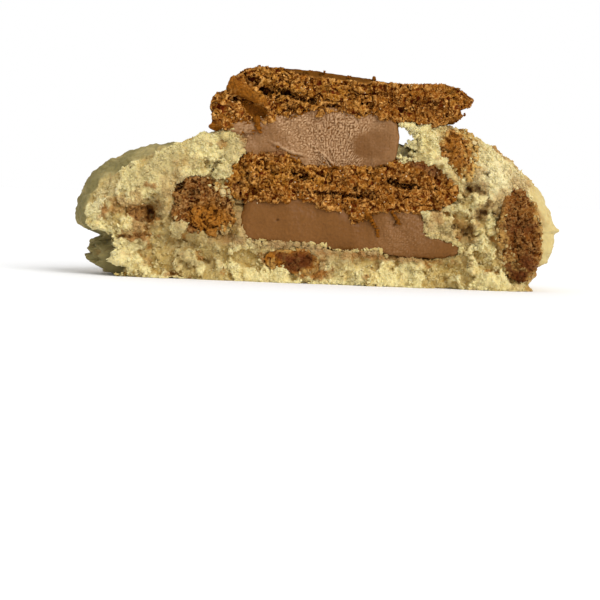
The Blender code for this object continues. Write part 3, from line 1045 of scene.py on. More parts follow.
@dataclass
class Dough:
    """The pale cookie dough: a crumbly broken face in front, a smooth baked crust all round.

    Even is the remesh's square, and each division has its cuts and how deep it goes on the face and on
    the crust. Crags, lumps, crumbs and grains are the sizes of its lumps, from coarse to fine, and each
    has its pull and its creases. Depths and heights are millimetres.
    """

    frame: FaceFrame
    even: float = 0.9
    divisions: tuple[tuple[int, float, float], ...] = ((3, 1.6, 5.5), (1, 0.0, 18.0))
    middle: tuple[float, float] = (0.0, 12.0)
    light_rounds: int = 5
    smooth_rounds: int = 45
    level_rounds: int = 30
    level_start: float = 0.8
    border: Noise = Noise(1.6, 77)
    border_stray: float = 0.5
    crags: Noise = Noise(3.4, 11, 4)
    crag_height: Strength = Strength(0.75, 0.35, -0.55)
    lumps: Lumps = Lumps(2.8, 310, 0.52, 0.4)
    lump_pull: Strength = Strength(0.12, 0.2)
    lump_crease: Strength = Strength(0.08, 0.35)
    crumbs: Lumps = Lumps(1.5, 170, 0.5, 0.4)
    crumb_pull: Strength = Strength(0.16, 0.25)
    crumb_crease: Strength = Strength(0.05, 0.3)
    lost_crumbs: Strength = Strength(0.03, 0.16, -0.03)
    lost_depth: float = 0.7
    grit: Noise = Noise(1.1, 15)
    grit_height: float = 0.24
    grains: Lumps = Lumps(0.75, 95, 0.45, 0.4)
    grain_pull: float = 0.36
    pimples: Noise = Noise(0.42, 31, 1)
    pimple_height: float = 0.06
    pit_grit: Noise = Noise(0.7, 32, 2)
    pit_grit_height: float = 0.12
    islands: Noise = Noise(4.4, 21, 5)
    least_low: float = 0.24
    folds: Noise = Noise(2.6, 41, 3, (0.35, 0.6, 1.6))
    swells: Noise = Noise(6.0, 43)
    rough: Noise = Noise(1.1, 47)
    ridges: Noise = Noise(1.7, 42, 2, (0.5, 0.7, 1.3))
    crack_patches: Noise = Noise(11.0, 53, 2)
    crack_spacing: float = 8.0
    crack_width: float = 0.12
    crack_depth: float = 0.45
    pore_spacing: float = 2.2
    pore_share: float = 0.07
    pore_depth: float = 0.3
    golden: Noise = Noise(2.0, 63)
    flecks: Noise = Noise(1.6, 65, 2)
    browned: Noise = Noise(7.0, 61, 4)
    low_rim: Noise = Noise(5.0, 62, 1)
    specks: Noise = Noise(1.9, 64, 2)
    streaks: Noise = Noise(2.4, 71, 3, (0.5, 0.8, 1.5))
    surface: Surface = field(init=False)
    crust: Array = field(init=False)
    low: Array = field(init=False)
    creased: Array = field(init=False)
    cracks: Array = field(init=False)
    loose: Array = field(init=False)

    def build(self) -> Piece:
        """Make the dough over its solid.

        Returns:
            The finished piece.
        """
        piece = merged_copy("dough", "dough_crumb")
        Crack(self.frame).cut(piece)
        apply_modifier(piece, "REMESH", mode="VOXEL", voxel_size=self.even * MM)
        self.surface = Surface(piece, self.frame)
        self.smooth_crust()
        self.level_face()
        self.refine()
        self.crust = self.crust_share()
        self.tear()
        self.crumble()
        self.press_foot()
        self.wrinkle()
        self.paint()
        self.surface.write()
        return piece

    def smooth_crust(self) -> None:
        """Even out the remesh's squares behind the face, and less of them in the gap beside the cream."""
        surface = self.surface
        behind = ramp(surface.points[:, 1], 2.0, 6.0)
        light = surface.relaxed(surface.points, self.light_rounds)
        smooth = surface.relaxed(light, self.smooth_rounds)
        smooth += GAP.cover(surface.points)[:, None] * (light - smooth)
        surface.points += behind[:, None] * (smooth - surface.points)
        low = surface.points[:, 2] < 0.3
        surface.points[low, 2] = np.maximum(surface.points[low, 2], 0.0)

    def level_face(self) -> None:
        """Bring the face's deep dishes nearer to the front and even them out, where the crumb is closed."""
        surface = self.surface
        points = surface.points
        facing = ramp(-surface.outward()[:, 1], 0.1, 0.5) * (points[:, 1] < 7.0)
        level = facing * covered(CLOSED_CRUMB, points, ragged=0.2, soft=0.4)
        points[:, 1] -= 0.9 * level * np.maximum(points[:, 1] - self.level_start, 0.0)
        even = surface.relaxed(points[:, 1], self.level_rounds)
        points[:, 1] += 0.85 * level * (even - points[:, 1])

    def away_from_middle(self, points: Array, way: Array) -> Array:
        """How far directions point away from the middle of the face: the crust does, the rooms don't.

        Args:
            points: Places in millimetres.
            way: A direction for each.

        Returns:
            1 where a direction points straight away, and -1 where it points to the middle.
        """
        x, z = points[:, 0] - self.middle[0], points[:, 2] - self.middle[1]
        far = np.maximum(np.hypot(x, z), TINY)
        return (way[:, 0] * x + way[:, 2] * z) / far

    def refine(self) -> None:
        """Give the face small squares, and the crust near it smaller ones than the back."""
        surface = self.surface
        for cuts, face_depth, crust_depth in self.divisions:
            middles, way = surface.middles(), surface.of_faces("normal", 3)
            outer = (self.away_from_middle(middles, way) > 0.1) & (middles[:, 2] > 0.2)
            depth = np.where(way[:, 1] < -0.3, 0.4, 1.0) * middles[:, 1]
            coarse = surface.of_faces("area", 1)[:, 0] > 0.3 * (self.even * MM) ** 2
            near = (depth < face_depth) | (outer & (depth < crust_depth))
            surface.divide_where(near & coarse, cuts)

    def crust_share(self) -> Array:
        """How far each point belongs to the crust.

        Returns:
            0 on the crumb of the face, and 1 on the skin.
        """
        points = self.surface.points
        x, y, z = points.T
        stray = self.border_stray * self.border.at(points)
        over = z + stray - follow(CRUMB_TOP, x)
        left = follow(CRUMB_LEFT, z) - x - stray
        right = x + stray - follow(CRUMB_RIGHT, z)
        edge = np.maximum(np.maximum(over, left), right)
        return np.maximum(ramp(edge, -0.1, 0.3), ramp(y + 0.6 * stray, 4.2, 6.4))

    def tear(self) -> None:
        """Set the crust back, tear the rim, and close the dough round the lower cream."""
        surface, crust = self.surface, self.crust[:, None]
        surface.points = surface.points + crust * moved(surface.points, SUNK_CRUST)
        points = surface.points
        surface.points = points + moved(points, TORN_RIM) + crust * moved(points, RIM_CRACK)
        surface.points = surface.points + moved(surface.points, CLOSED_ROOMS)

    def crumble(self) -> None:
        """Break the face up into crags, lumps, crumbs and grains."""
        surface, crumb = self.surface, 1 - self.crust
        points = surface.points
        opened = covered(OPEN_CRUMB, points, ragged=0.3, soft=0.6)
        closed = covered(CLOSED_CRUMB, points, ragged=0.3, soft=0.6)
        lively = crumb * (1 - 0.25 * covered(MOIST, points))
        self.low = lively * self.low_share(points)
        height = lively * self.crag_height.on(opened, closed)
        surface.push(surface.outward(6), height * self.crags.at(points))
        pits = covered(DOUGH_PITS, points, ragged=0.6, soft=0.45)
        surface.push(BACK, self.low + crumb * pits)
        lively = lively * (1 - 0.4 * np.minimum(pits, 2.0))
        _, wide = surface.lump(self.lumps, lively * self.lump_pull.on(opened, closed))
        surface.push(BACK, lively * self.lump_crease.on(opened, closed) * (1 - closed) * wide)
        lot, narrow = surface.lump(self.crumbs, lively * self.crumb_pull.on(opened, closed))
        surface.push(BACK, lively * self.crumb_crease.on(opened, closed) * narrow)
        lost = (lot < self.lost_crumbs.on(opened, closed)) * lively
        surface.push(BACK, self.lost_depth * surface.relaxed(lost, 2))
        surface.push(surface.outward(4), lively * self.grit_height * self.grit.at(surface.points))
        surface.lump(self.grains, lively * self.grain_pull)
        pimples = self.pimple_height * self.pimples.at(surface.points)
        surface.push(surface.outward(2), (0.25 + crumb) * pimples)
        grit = self.pit_grit_height * self.pit_grit.at(surface.points)
        surface.push(surface.outward(2), crumb * np.minimum(pits, 1.5) * grit)
        self.creased = lively * (0.5 * wide + 0.3 * narrow)

    def press_foot(self) -> None:
        """Press the lowest crumbs of the face flat on the ground."""
        x, y, z = self.surface.points.T
        z = z - 0.8 * (1 - ramp(y, 3.0, 6.0)) * z * (1 - ramp(z, 0.0, 1.5))
        self.surface.points = np.stack([x, y, np.maximum(z, 0.0)], axis=1)

    def low_share(self, points: Array) -> Array:
        """How far each point lies on the lower, darker ground between the pale ragged islands of crumb.

        Args:
            points: Places in millimetres.

        Returns:
            0 on an island, and 1 between the islands.
        """
        closed = covered(CLOSED_CRUMB, points, ragged=0.3, soft=0.5)
        share = np.maximum(self.least_low, covered(LOW_CRUMB, points, ragged=0.3, soft=0.6))
        islands = self.islands.at(points) + 0.75 - 1.5 * share * (1 - 0.8 * closed)
        return (1 - ramp(islands, -0.12, 0.12)) * (1 - closed)

    def wrinkle(self) -> None:
        """Give the crust the faint folds, dimples, cracks and pores of a baked skin."""
        surface = self.surface
        points = surface.points
        x, y, z = points.T
        left = ramp(-x, 20.0, 26.0)
        folds = 0.22 * self.folds.at(points) + 0.35 * self.swells.at(points)
        folds += 0.2 * left * np.abs(self.ridges.at(points))
        rough = (0.17 + 0.1 * left) * self.rough.at(points) * (1 - 0.5 * ramp(y, 14.0, 24.0))
        bent = points + np.stack([waves(points, 4.0, seed) for seed in (48, 49, 50)], axis=1)
        _, gap, _ = granules(bent, self.crack_spacing, 52)
        cracked = ramp(self.crack_patches.at(points), 0.0, 0.7) * ramp(y, 8.0, 14.0) * ramp(z, 4.0, 10.0)
        self.cracks = (1 - ramp(gap, 0.0, self.crack_width)) * cracked
        _, _, lot = granules(points, self.pore_spacing, 54)
        pores = surface.relaxed(1.0 * (lot < self.pore_share), 1) * ramp(y, 6.0, 9.0)
        sunk = self.crack_depth * self.cracks + self.pore_depth * pores
        surface.push(surface.outward(4), self.crust * ramp(z, 0.5, 3.0) * (folds + rough - sunk))

    def paint(self) -> None:
        """Store where the material changes, and where loose grains may lie."""
        surface, crust = self.surface, self.crust
        points, crumb = surface.points, 1 - crust
        x, y, _ = points.T
        fine = surface.hollow(3, 0.16)
        broad = surface.hollow(16, 0.6)
        front = 1 - ramp(y, 5.0, 8.0)
        inside = ramp(y, 2.5, 6.0) * (self.away_from_middle(points, surface.outward(3)) < 0)
        # The crust's left side near the front gets painted shade, greyer and darker than the lit right side.
        side = ramp(-x, 14.0, 26.0) * (1 - ramp(y, 11.0, 25.0))
        bright = covered(BRIGHT_CRUMB, points, ragged=0.4, soft=0.8)
        shade = 0.12 * ramp(fine, 0.0, 0.9) + 0.24 * ramp(broad, 0.0, 1.0) + 0.08 * self.creased
        flecked = crumb * (0.4 + 0.3 * self.low) * ramp(self.flecks.at(points) + 0.35 * self.low, 0.75, 1.1)
        stained = np.maximum(covered(CARAMEL, points, ragged=0.7, soft=0.4), flecked)
        pits = covered(DOUGH_PITS, points, ragged=0.6, soft=0.3) / 2.2
        surface.store(
            crust=crust,
            moist=np.maximum(covered(MOIST, points) * front, 0.7 * inside),
            film=front * covered(FILM, points, ragged=0.6, soft=0.8),
            # Painted highlight: paler on raised tips and in the palest spots.
            tip=(crumb - 0.5 * self.low) * (bright + ramp(-fine, -0.1, 0.9) * 0.3),
            golden=crumb * ramp(self.golden.at(points), 0.0, 0.9) * 0.5,
            low=0.8 * self.low,
            # Painted shade in the hollows and creases, stronger on the lower ground, and in the crust's
            # cracks.
            hollow=crumb * shade * (0.5 + 0.7 * self.low) + 0.35 * crust * self.cracks,
            caramel=front * stained,
            toast=self.toasted_share(points),
            # Painted shade on the left side of the crust, with streaks.
            dim=crust * side * (0.95 + 0.4 * self.streaks.at(points)),
            # Painted shade in the deepest pits.
            deep=crumb * pits * ramp(broad, 0.0, 0.8),
        )
        seen = (crumb > 0.9) * (y < 4.5) * (surface.outward(1)[:, 1] < -0.15)
        self.loose = seen * (1.0 - 0.4 * self.low) * (1 - 0.6 * surface.stored["moist"])

    def toasted_share(self, points: Array) -> Array:
        """How brown the oven has made each point.

        Args:
            points: Places in millimetres.

        Returns:
            The share of brown: in patches on the dome, round the foot, in specks and on the right rim.
        """
        _, y, z = points.T
        behind = ramp(y, 10.0, 24.0)
        dome = (0.35 + 0.3 * behind) * ramp(self.browned.at(points), -0.1, 1.1) * ramp(z, 14.0, 24.0)
        foot = 0.55 * behind * (1 - ramp(z + 1.5 * self.low_rim.at(points), 2.0, 9.0))
        specks = 0.35 * ramp(self.specks.at(points), 0.6, 1.1) * (1 - 0.6 * ramp(y, 8.0, 16.0))
        browned = self.crust * np.maximum(np.maximum(dome, foot), specks)
        rim = (1 - ramp(y, 3.0, 10.0)) * covered(TOASTED, points, ragged=0.7, soft=0.8)
        return np.maximum(browned, rim)


# Pieces in the dough


@dataclass
class Inner:
    """What the biscuits, the creams and the chunks share: a piece in the dough that the break opens.

    Even is the remesh's square, and fine depth is how far back the squares are divided. Grow is how far
    the piece swells over the gap that the solids keep, in millimetres.
    """

    frame: FaceFrame
    node: str
    name: str
    seed: int
    even: float = 0.5
    rounds: int = 3
    cuts: int = 3
    fine_depth: float = 2.2
    grow: float = 0.55
    surface: Surface = field(init=False)
    loose: Array = field(init=False)

    def build(self) -> Piece:
        """Make the piece over its solid.

        Returns:
            The finished piece.
        """
        piece = merged_copy(self.node, self.name)
        apply_modifier(piece, "REMESH", mode="VOXEL", voxel_size=self.even * MM)
        surface = self.surface = Surface(piece, self.frame)
        surface.points = surface.relaxed(surface.points, self.rounds)
        surface.divide_where(surface.middles()[:, 1] < self.fine_depth, self.cuts)
        self.shape()
        self.paint()
        surface.write()
        return piece

    def shape(self) -> None:
        """Give the piece its form."""

    def paint(self) -> None:
        """Store where the material changes."""

    def noise(self, points: Array, size: float, step: int, octaves: int = 3) -> Array:
        """Layered noise with the piece's own seed, moved on by a step."""
        return layered(points, size, self.seed + step, octaves)


# Biscuits


TOP_PITS = spots(
    (-10.4, 36.0, 1.4, 1.4, 2.6, 20), (-7.0, 35.5, 1.6, 0.7, 2.4, 12), (-4.6, 34.7, 1.3, 0.5, 2.0, 15),
    (-13.7, 38.0, 1.3, 0.7, 0.9, 10), (-13.7, 33.7, 1.5, 0.4, 1.3, 14), (-6.0, 33.2, 1.0, 0.7, 1.2),
    (-2.0, 34.3, 1.0, 0.5, 2.0), (1.5, 33.5, 1.5, 0.4, 1.6, 5), (8.5, 34.0, 1.3, 0.5, 1.2),
    (19.5, 34.8, 2.0, 0.7, 1.0, 5), (-16.8, 34.2, 0.7, 0.5, 1.6), (15.0, 33.2, 0.9, 0.4, 1.2),
)

# Outline of the broken edge: the baked top as (x, z), and both ends as (z, x).
TOP_ROOF = (
    (-23.0, 32.6), (-21.2, 33.9), (-20.5, 35.0), (-19.1, 35.6), (-18.4, 35.9), (-18.2, 37.2), (-17.6, 38.2),
    (-16.2, 39.0), (-14.6, 39.9), (-10.7, 40.6), (-2.0, 40.1), (4.0, 39.4), (9.3, 38.9), (13.9, 38.2),
    (17.9, 38.2), (22.4, 38.5), (24.5, 38.2), (28.5, 36.0),
)
TOP_LEFT = (
    (27.2, -20.8), (28.9, -21.6), (29.6, -20.7), (31.7, -21.0), (33.1, -21.3), (33.9, -21.1), (35.0, -20.4),
    (35.6, -19.1), (35.9, -18.4), (37.2, -18.2), (38.2, -17.6), (39.0, -16.2), (39.9, -14.6),
)
TOP_RIGHT = ((31.4, 25.1), (32.6, 26.2), (33.7, 25.6), (34.4, 27.5), (35.9, 28.4), (37.0, 26.8), (38.2, 24.5))

# Height where the strip of top skin begins to show, as (x, z).
TOP_STRIP = ((-9.0, 41.0), (-7.5, 39.8), (1.8, 38.3), (7.1, 38.2), (12.0, 37.9), (15.0, 40.0))

# The ragged tongue at the top biscuit's left end.
TOP_TONGUE = (Shift(Zone(x=until(-21.0, -16.0), y=until(3.0, 6.0), z=Bump(28.8, 0.8)), right=-0.9),)

MIDDLE_PITS = spots(
    (-4.9, 20.8, 1.2, 0.5, 1.4), (-3.2, 20.0, 0.7, 0.6, 2.2), (9.2, 17.5, 2.0, 0.6, 1.4, 12),
    (15.6, 19.2, 2.4, 0.6, 2.6, 8), (13.2, 20.2, 1.0, 0.6, 1.6), (-14.0, 20.0, 0.7, 0.5, 1.2),
    (-10.5, 18.3, 0.8, 0.5, 1.2), (21.8, 18.8, 0.6, 0.6, 1.2), (1.0, 17.2, 3.2, 0.4, 1.3),
    (6.5, 16.9, 2.6, 0.45, 1.6, 2), (9.5, 17.1, 1.2, 0.8, 1.6), (-9.0, 20.6, 1.2, 0.5, 1.0, 10),
)

# Where cream has soaked the upper edge of the middle biscuit.
MIDDLE_SOAKED = spots(
    (18.5, 23.3, 5.5, 0.9, 0.65, 24), (-12.5, 24.6, 5.0, 0.8, 0.6, -8), (-2.0, 23.6, 5.0, 0.5, 0.4, 12),
)

# Where a thin film of cream lies over the edge of the middle biscuit.
MIDDLE_FILM = spots(
    (-10.4, 25.2, 4.6, 0.9, 0.75, 3), (-3.0, 24.4, 4.0, 0.7, 0.65, 14), (20.4, 22.4, 4.6, 0.8, 0.45, 28),
    (-15.6, 17.6, 1.6, 1.2, 0.45, 40),
)


@dataclass
class Biscuit(Inner):
    """A spiced biscuit: a coarse broken face of grains and voids between baked skins.

    The seeds of its lumps are steps from its own seed. A void is where a lump has fallen out of the
    break: each share says how many have, and each depth how deep the void is, in millimetres.
    """

    pits: tuple[Spot, ...] = ()
    soaked: tuple[Spot, ...] = ()
    film: tuple[Spot, ...] = ()
    side_cuts: int = 1
    side_depth: float = 7.0
    ragged: float = 0.45
    waviness: float = 0.55
    skin_roughness: float = 0.15
    clusters: Lumps = Lumps(3.0, 2, 0.5, 0.45)
    cluster_pull: float = 0.3
    cluster_crease: float = 0.75
    clumps: Lumps = Lumps(1.5, 7, 0.5, 0.5)
    clump_pull: float = 0.16
    clump_crease: float = 0.25
    clump_void_share: float = 0.14
    clump_void_depth: float = 0.7
    grains: Lumps = Lumps(0.7, 3, 0.5, 0.5)
    flecks: Lumps = Lumps(0.5, 4, 0.5, 0.5)
    grain_pull: float = 0.35
    grain_void_share: float = 0.16
    grain_void_depth: float = 0.5
    grit: float = 0.16
    pores: Lumps = Lumps(1.7, 8)
    pore_pull: float = 0.05
    pore_share: float = 0.12
    pore_depth: float = 0.35
    broken: Array = field(init=False)
    fleck: Array = field(init=False)

    def shape(self) -> None:
        """Divide the sides, close the gap to the neighbours, and break the face up."""
        surface = self.surface
        depth = surface.middles()[:, 1]
        surface.divide_where((depth > self.fine_depth) & (depth < self.side_depth), self.side_cuts)
        self.close_gap()
        self.broken = self.broken_share()
        self.crumble()

    def close_gap(self) -> None:
        """Close the gap that the solids keep to their neighbours."""
        points = self.surface.points
        torn = self.noise(points, 1.5, 9, 2) * self.torn_share(points)
        self.surface.push(self.surface.sideways(), self.grow + self.ragged * torn)

    def torn_share(self, points: Array) -> Array:
        """How ragged the border is at each point."""
        return np.ones(len(points))

    def broken_share(self) -> Array:
        """How far each point belongs to the broken crumb rather than to the baked skin."""
        points = self.surface.points
        return 1 - ramp(points[:, 1] + 0.5 * self.noise(points, 1.8, 0), 1.2, 2.4)

    def crumble(self) -> None:
        """Break the face up into grains and voids."""
        surface, broken = self.surface, self.broken
        points = surface.points
        rough = self.skin_roughness + (1 - self.skin_roughness) * broken
        surface.push(surface.outward(5), rough * self.waviness * self.noise(points, 2.4, 1, 2))
        surface.push(BACK, broken * covered(self.pits, points, ragged=0.7, soft=0.5))
        _, crease = surface.lump(self.clusters, rough * self.cluster_pull, self.seed)
        patches = ramp(self.noise(points, 4.0, 6, 2), -0.3, 0.5)
        surface.push(BACK, self.cluster_crease * broken * crease * patches)
        lot, crease = surface.lump(self.clumps, broken * self.clump_pull, self.seed)
        voids = self.clump_void_depth * surface.relaxed(1.0 * (lot < self.clump_void_share), 2)
        surface.push(BACK, broken * (voids + self.clump_crease * crease))
        lot, _ = surface.lump(self.grains, broken * self.grain_pull, self.seed)
        voids = surface.relaxed((lot < self.grain_void_share) * broken, 1)
        surface.push(BACK, self.grain_void_depth * voids)
        self.fleck, _ = surface.lump(self.flecks, broken * self.grain_pull, self.seed)
        surface.push(surface.outward(2), rough * self.grit * self.noise(surface.points, 0.6, 5, 2))
        skin = 1 - broken
        lot, _ = surface.lump(self.pores, skin * self.pore_pull, self.seed)
        sunk = surface.relaxed((lot < self.pore_share) * skin, 1)
        surface.push(surface.outward(2), -self.pore_depth * sunk)

    def skin_share(self) -> Array:
        """How far each point is baked skin."""
        return 1 - self.broken

    def soak_and_shade_share(self) -> Array:
        """How far the filling has darkened each point."""
        return covered(self.soaked, self.surface.points, ragged=0.5, soft=0.6)

    def paint(self) -> None:
        """Store where the material changes, and where loose grains may lie."""
        surface, broken = self.surface, self.broken
        points = surface.points
        fine = surface.hollow(3, 0.14)
        broad = surface.hollow(14, 0.5)
        glints = 0.85 * ramp(self.fleck, 0.70, 1.0) * ramp(-fine, -0.4, 0.4)
        voids = covered(self.pits, points, ragged=0.7, soft=0.3) / 2.0
        surface.store(
            golden=broken * ramp(self.noise(points, 4.0, 6, 2), -0.2, 0.8),
            # Painted highlight on raised grains, with painted glints on the brightest flecks.
            tip=broken * (0.5 * ramp(-fine, 0.0, 0.9) + glints),
            soaked=self.soak_and_shade_share(),
            film=covered(self.film, points, ragged=0.7, soft=0.7),
            skin=self.skin_share(),
            # Painted shade in the fine and broad hollows and in the voids.
            hollow=broken * (0.75 * ramp(fine, -0.1, 0.7) + 0.7 * ramp(broad, 0.0, 0.9)),
            deep=broken * voids * ramp(broad, -0.1, 0.6),
        )
        self.loose = (broken > 0.6) * (1 - 0.8 * surface.stored["deep"])


@dataclass
class TopBiscuit(Biscuit):
    """The biscuit on top, whose baked skin shows above its broken edge and over its left end.

    The lobe stands out of its left end, the recess is sunk under it, and the flap is a bit of skin.
    """

    lobe: Spot = Spot(-14.6, 35.5, 4.2, 1.2, 0.8, 28)
    recess: Spot = Spot(-12.7, 32.1, 2.3, 1.0, 1.3, 30)
    flap: Spot = Spot(-20.6, 28.6, 1.9, 1.2, 1.0, 20)
    strip_depth: float = 1.6
    strip: Array = field(init=False)

    def torn_share(self, points: Array) -> Array:
        """The baked top is smooth, and the ends and the underside are ragged."""
        return 1 - 0.85 * ramp(points[:, 2] - follow(TOP_ROOF, points[:, 0]), -1.5, -0.5)

    def close_gap(self) -> None:
        """Cut the outline back to the broken edge's own, and the strip of skin above it too."""
        super().close_gap()
        surface = self.surface
        surface.points = surface.points + moved(surface.points, TOP_TONGUE)
        self.trim()
        x, y, z = surface.points.T
        edge = ramp(z - follow(TOP_STRIP, x), 0.0, 0.5) * (1 - ramp(y, 2.0, 4.0))
        surface.push(BACK, self.strip_depth * edge)

    def trim(self) -> None:
        """Keep the piece within the outline of the broken edge."""
        points = self.surface.points
        x, y, z = points.T
        stray = layered(points, 1.3, 57)
        front = 1 - ramp(y, 8.0, 16.0)
        over = np.maximum(z - follow(TOP_ROOF, x) - 0.12 * stray, 0)
        before = np.maximum(follow(TOP_LEFT, z) - x - 0.3 * stray, 0)
        beyond = np.maximum(x - follow(TOP_RIGHT, z) - 0.3 * stray, 0)
        points[:, 2] -= 0.95 * over
        points[:, 0] += 0.9 * front * (before - beyond)

    def broken_share(self) -> Array:
        """The crumb shows on the whole broken edge, less the strip and the skin of the left end.

        Returns:
            The share of broken crumb of each point.
        """
        points = self.surface.points
        x, _, z = points.T
        self.strip = ramp(z - follow(TOP_STRIP, x) + 0.2 * waves(points, 1.2, 9), 0.0, 0.3)
        skins = (
            self.strip,
            0.8 * self.lobe.cover(points, 0.3, 0.35) / self.lobe.strength,
            self.recess.cover(points, 0.3, 0.3) / 1.4,
            0.7 * self.flap.cover(points, 0.3, 0.3),
        )
        return super().broken_share() * (1 - np.max(skins, axis=0))

    def skin_share(self) -> Array:
        """The strip of top skin, and everything behind the break."""
        return np.maximum(self.strip, ramp(self.surface.points[:, 1], 1.6, 2.6))

    def soak_and_shade_share(self) -> Array:
        """The recess under the lobe at the left end is painted shade, and the lobe is a little darker.

        Returns:
            The share of dark of each point.
        """
        points = self.surface.points
        recess = 0.75 * self.recess.cover(points, 0.3, 0.5) / self.recess.strength
        lobe = 0.2 * self.lobe.cover(points, 0.3, 0.4) / self.lobe.strength
        return (1 - ramp(points[:, 1], 2.0, 4.0)) * np.maximum(recess, lobe)

    def crumble(self) -> None:
        """Raise the smooth lobe and sink the recess under it before the grains are made."""
        points = self.surface.points
        sunk = self.recess.cover(points, 0.3, 0.4) - self.lobe.cover(points, 0.2, 0.5)
        self.surface.push(BACK, sunk * (1 - ramp(points[:, 1], 3.0, 6.0)))
        super().crumble()
        self.trim()


# Creams


# Front border of the lower cream, as (x, z).
LOWER_ROOF = ((-20.0, 30.0), (19.5, 30.0), (20.1, 10.6), (22.2, 9.4), (25.7, 8.5), (26.6, 7.6))
LOWER_FLOOR = (
    (-15.0, 9.4), (-14.2, 8.1), (-10.2, 7.7), (-3.4, 7.8), (-1.3, 7.6), (1.5, 6.8), (4.8, 6.2), (9.2, 6.6),
    (11.3, 6.9), (14.0, 6.2), (17.7, 5.4), (23.4, 5.6), (26.4, 6.7),
)


@dataclass
class Cream(Inner):
    """A layer of milk-chocolate cream: smooth, with the drag lines of the break.

    The drag lines run from the root. The end past free_end keeps the solid's form. Roof and floor are
    borders that the dough hangs over. Depths and heights are millimetres.
    """

    drag: tuple[Spot, ...] = ()
    calm: tuple[Spot, ...] = ()
    creases: tuple[Spot, ...] = ()
    ridges: tuple[Spot, ...] = ()
    drape: tuple[Spot, ...] = ()
    drape_way: tuple[float, float, float] = (-2.2, -0.9, -0.6)
    root: tuple[float, float] = (3.2, 20.0)
    pale: float = 0.0
    glint: float = 0.9
    free_end: float = 99.0
    free_fade: float = 1.5
    roof: Outline = ()
    floor: Outline = ()
    even: float = 0.6
    fine_depth: float = 1.8
    grow: float = 0.7
    swell: float = 0.25
    line_height: float = 0.22
    leather_height: float = 0.16
    ridge_height: float = 0.7
    front: Array = field(init=False)
    pulled: Array = field(init=False)
    ridge: Array = field(init=False)

    def shape(self) -> None:
        """Grow the layer against its neighbours, hang its drape, and mark its face."""
        surface = self.surface
        ragged = self.noise(surface.points, 1.6, 9)
        kept = 1 - ramp(surface.points[:, 0], self.free_end - self.free_fade, self.free_end)
        surface.push(surface.sideways(), kept * (self.grow + 0.4 * ragged))
        self.trim(0.35 * ragged)
        points = surface.points
        hang = covered(self.drape, points, ragged=0.3, soft=0.6) * (1 - ramp(points[:, 1], 2.5, 5.0))
        surface.points = points + hang[:, None] * self.drape_way
        self.mark()

    def trim(self, stray: Array) -> None:
        """Keep the layer's front between its own roof and floor, where the dough hangs over it.

        Args:
            stray: How far its border strays at each point.
        """
        x, y, z = self.surface.points.T
        share = 0.95 * (1 - ramp(y, 4.0, 8.0))
        if self.roof:
            self.surface.push(UP, -share * np.maximum(z - follow(self.roof, x) - stray, 0))
        if self.floor:
            self.surface.push(UP, share * np.maximum(follow(self.floor, x) + stray - z, 0))

    def mark(self) -> None:
        """Draw the marks of the break into the face: drag lines, leather, creases and ridges."""
        surface = self.surface
        points = surface.points
        self.front = 1 - ramp(points[:, 1], 0.8, 2.0)
        calm = covered(self.calm, points, ragged=0.2, soft=0.3)
        self.pulled = covered(self.drag, points, ragged=0.3, soft=0.5) * (1 - calm)
        x, z = points[:, 0] - self.root[0], points[:, 2] - self.root[1]
        fan = np.stack([9.0 * np.arctan2(x, z), points[:, 1], 0.45 * np.hypot(x, z)], axis=1)
        lines = np.abs(self.noise(fan, 0.6, 1, 2)) - 0.4
        leather = np.abs(self.noise(points, 0.48, 2, 1)) + 0.6 * np.abs(self.noise(points, 0.3, 3, 1)) - 0.4
        height = self.swell * self.noise(points, 5.0, 0)
        height += (0.03 + self.line_height * self.pulled) * lines
        height += (0.09 + self.leather_height * self.pulled) * leather
        surface.push(surface.outward(3), self.front * height)
        stray = np.outer(waves(points, 3.0, 5), RIGHT) + np.outer(waves(points, 3.0, 6), UP)
        bent = points + 0.5 * stray
        self.ridge = covered(self.ridges, bent, ragged=0.4, soft=0.8)
        sunk = covered(self.creases, bent, ragged=0.5, soft=0.8) - self.ridge_height * self.ridge
        surface.push(BACK, self.front * sunk)

    def paint(self) -> None:
        """Store where the material changes, and where loose grains may lie along the border."""
        surface = self.surface
        points = surface.points
        fine = surface.hollow(2, 0.05)
        glint = self.glint * self.pulled * ramp(-fine, 0.0, 1.0) + 1.6 * self.ridge
        light = (self.pale + self.glint * 0.35 * self.pulled) * (1 - ramp(fine, -0.2, 0.8))
        still = covered(self.calm, points, ragged=0.2, soft=0.4)
        broad = 0.3 * ramp(self.noise(points, 6.0, 4, 1), 0.0, 1.0)
        surface.store(
            # The cream's own pale tone, with painted highlights: a sheen and glints on the drag lines and the
            # ridges.
            pale=self.front * (light + glint),
            # Painted shade in the fine hollows, most where the cream is pulled, with a random darker tone and
            # darker calm patches.
            shade=(0.2 + 0.5 * self.pulled) * ramp(fine, 0.0, 0.8) + broad + 0.45 * still,
            # Painted shade in the creases.
            deep=self.front * covered(self.creases, points, ragged=0.35, soft=0.4) * 0.6,
        )
        way = surface.outward(2)
        clumps = 0.1 + ramp(self.noise(points, 2.6, 6, 2), 0.0, 0.8)
        rim = ramp(np.hypot(way[:, 0], way[:, 2]), 0.45, 0.8)
        self.loose = rim * (points[:, 1] < 1.2) * (points[:, 0] < 13.0) * clumps


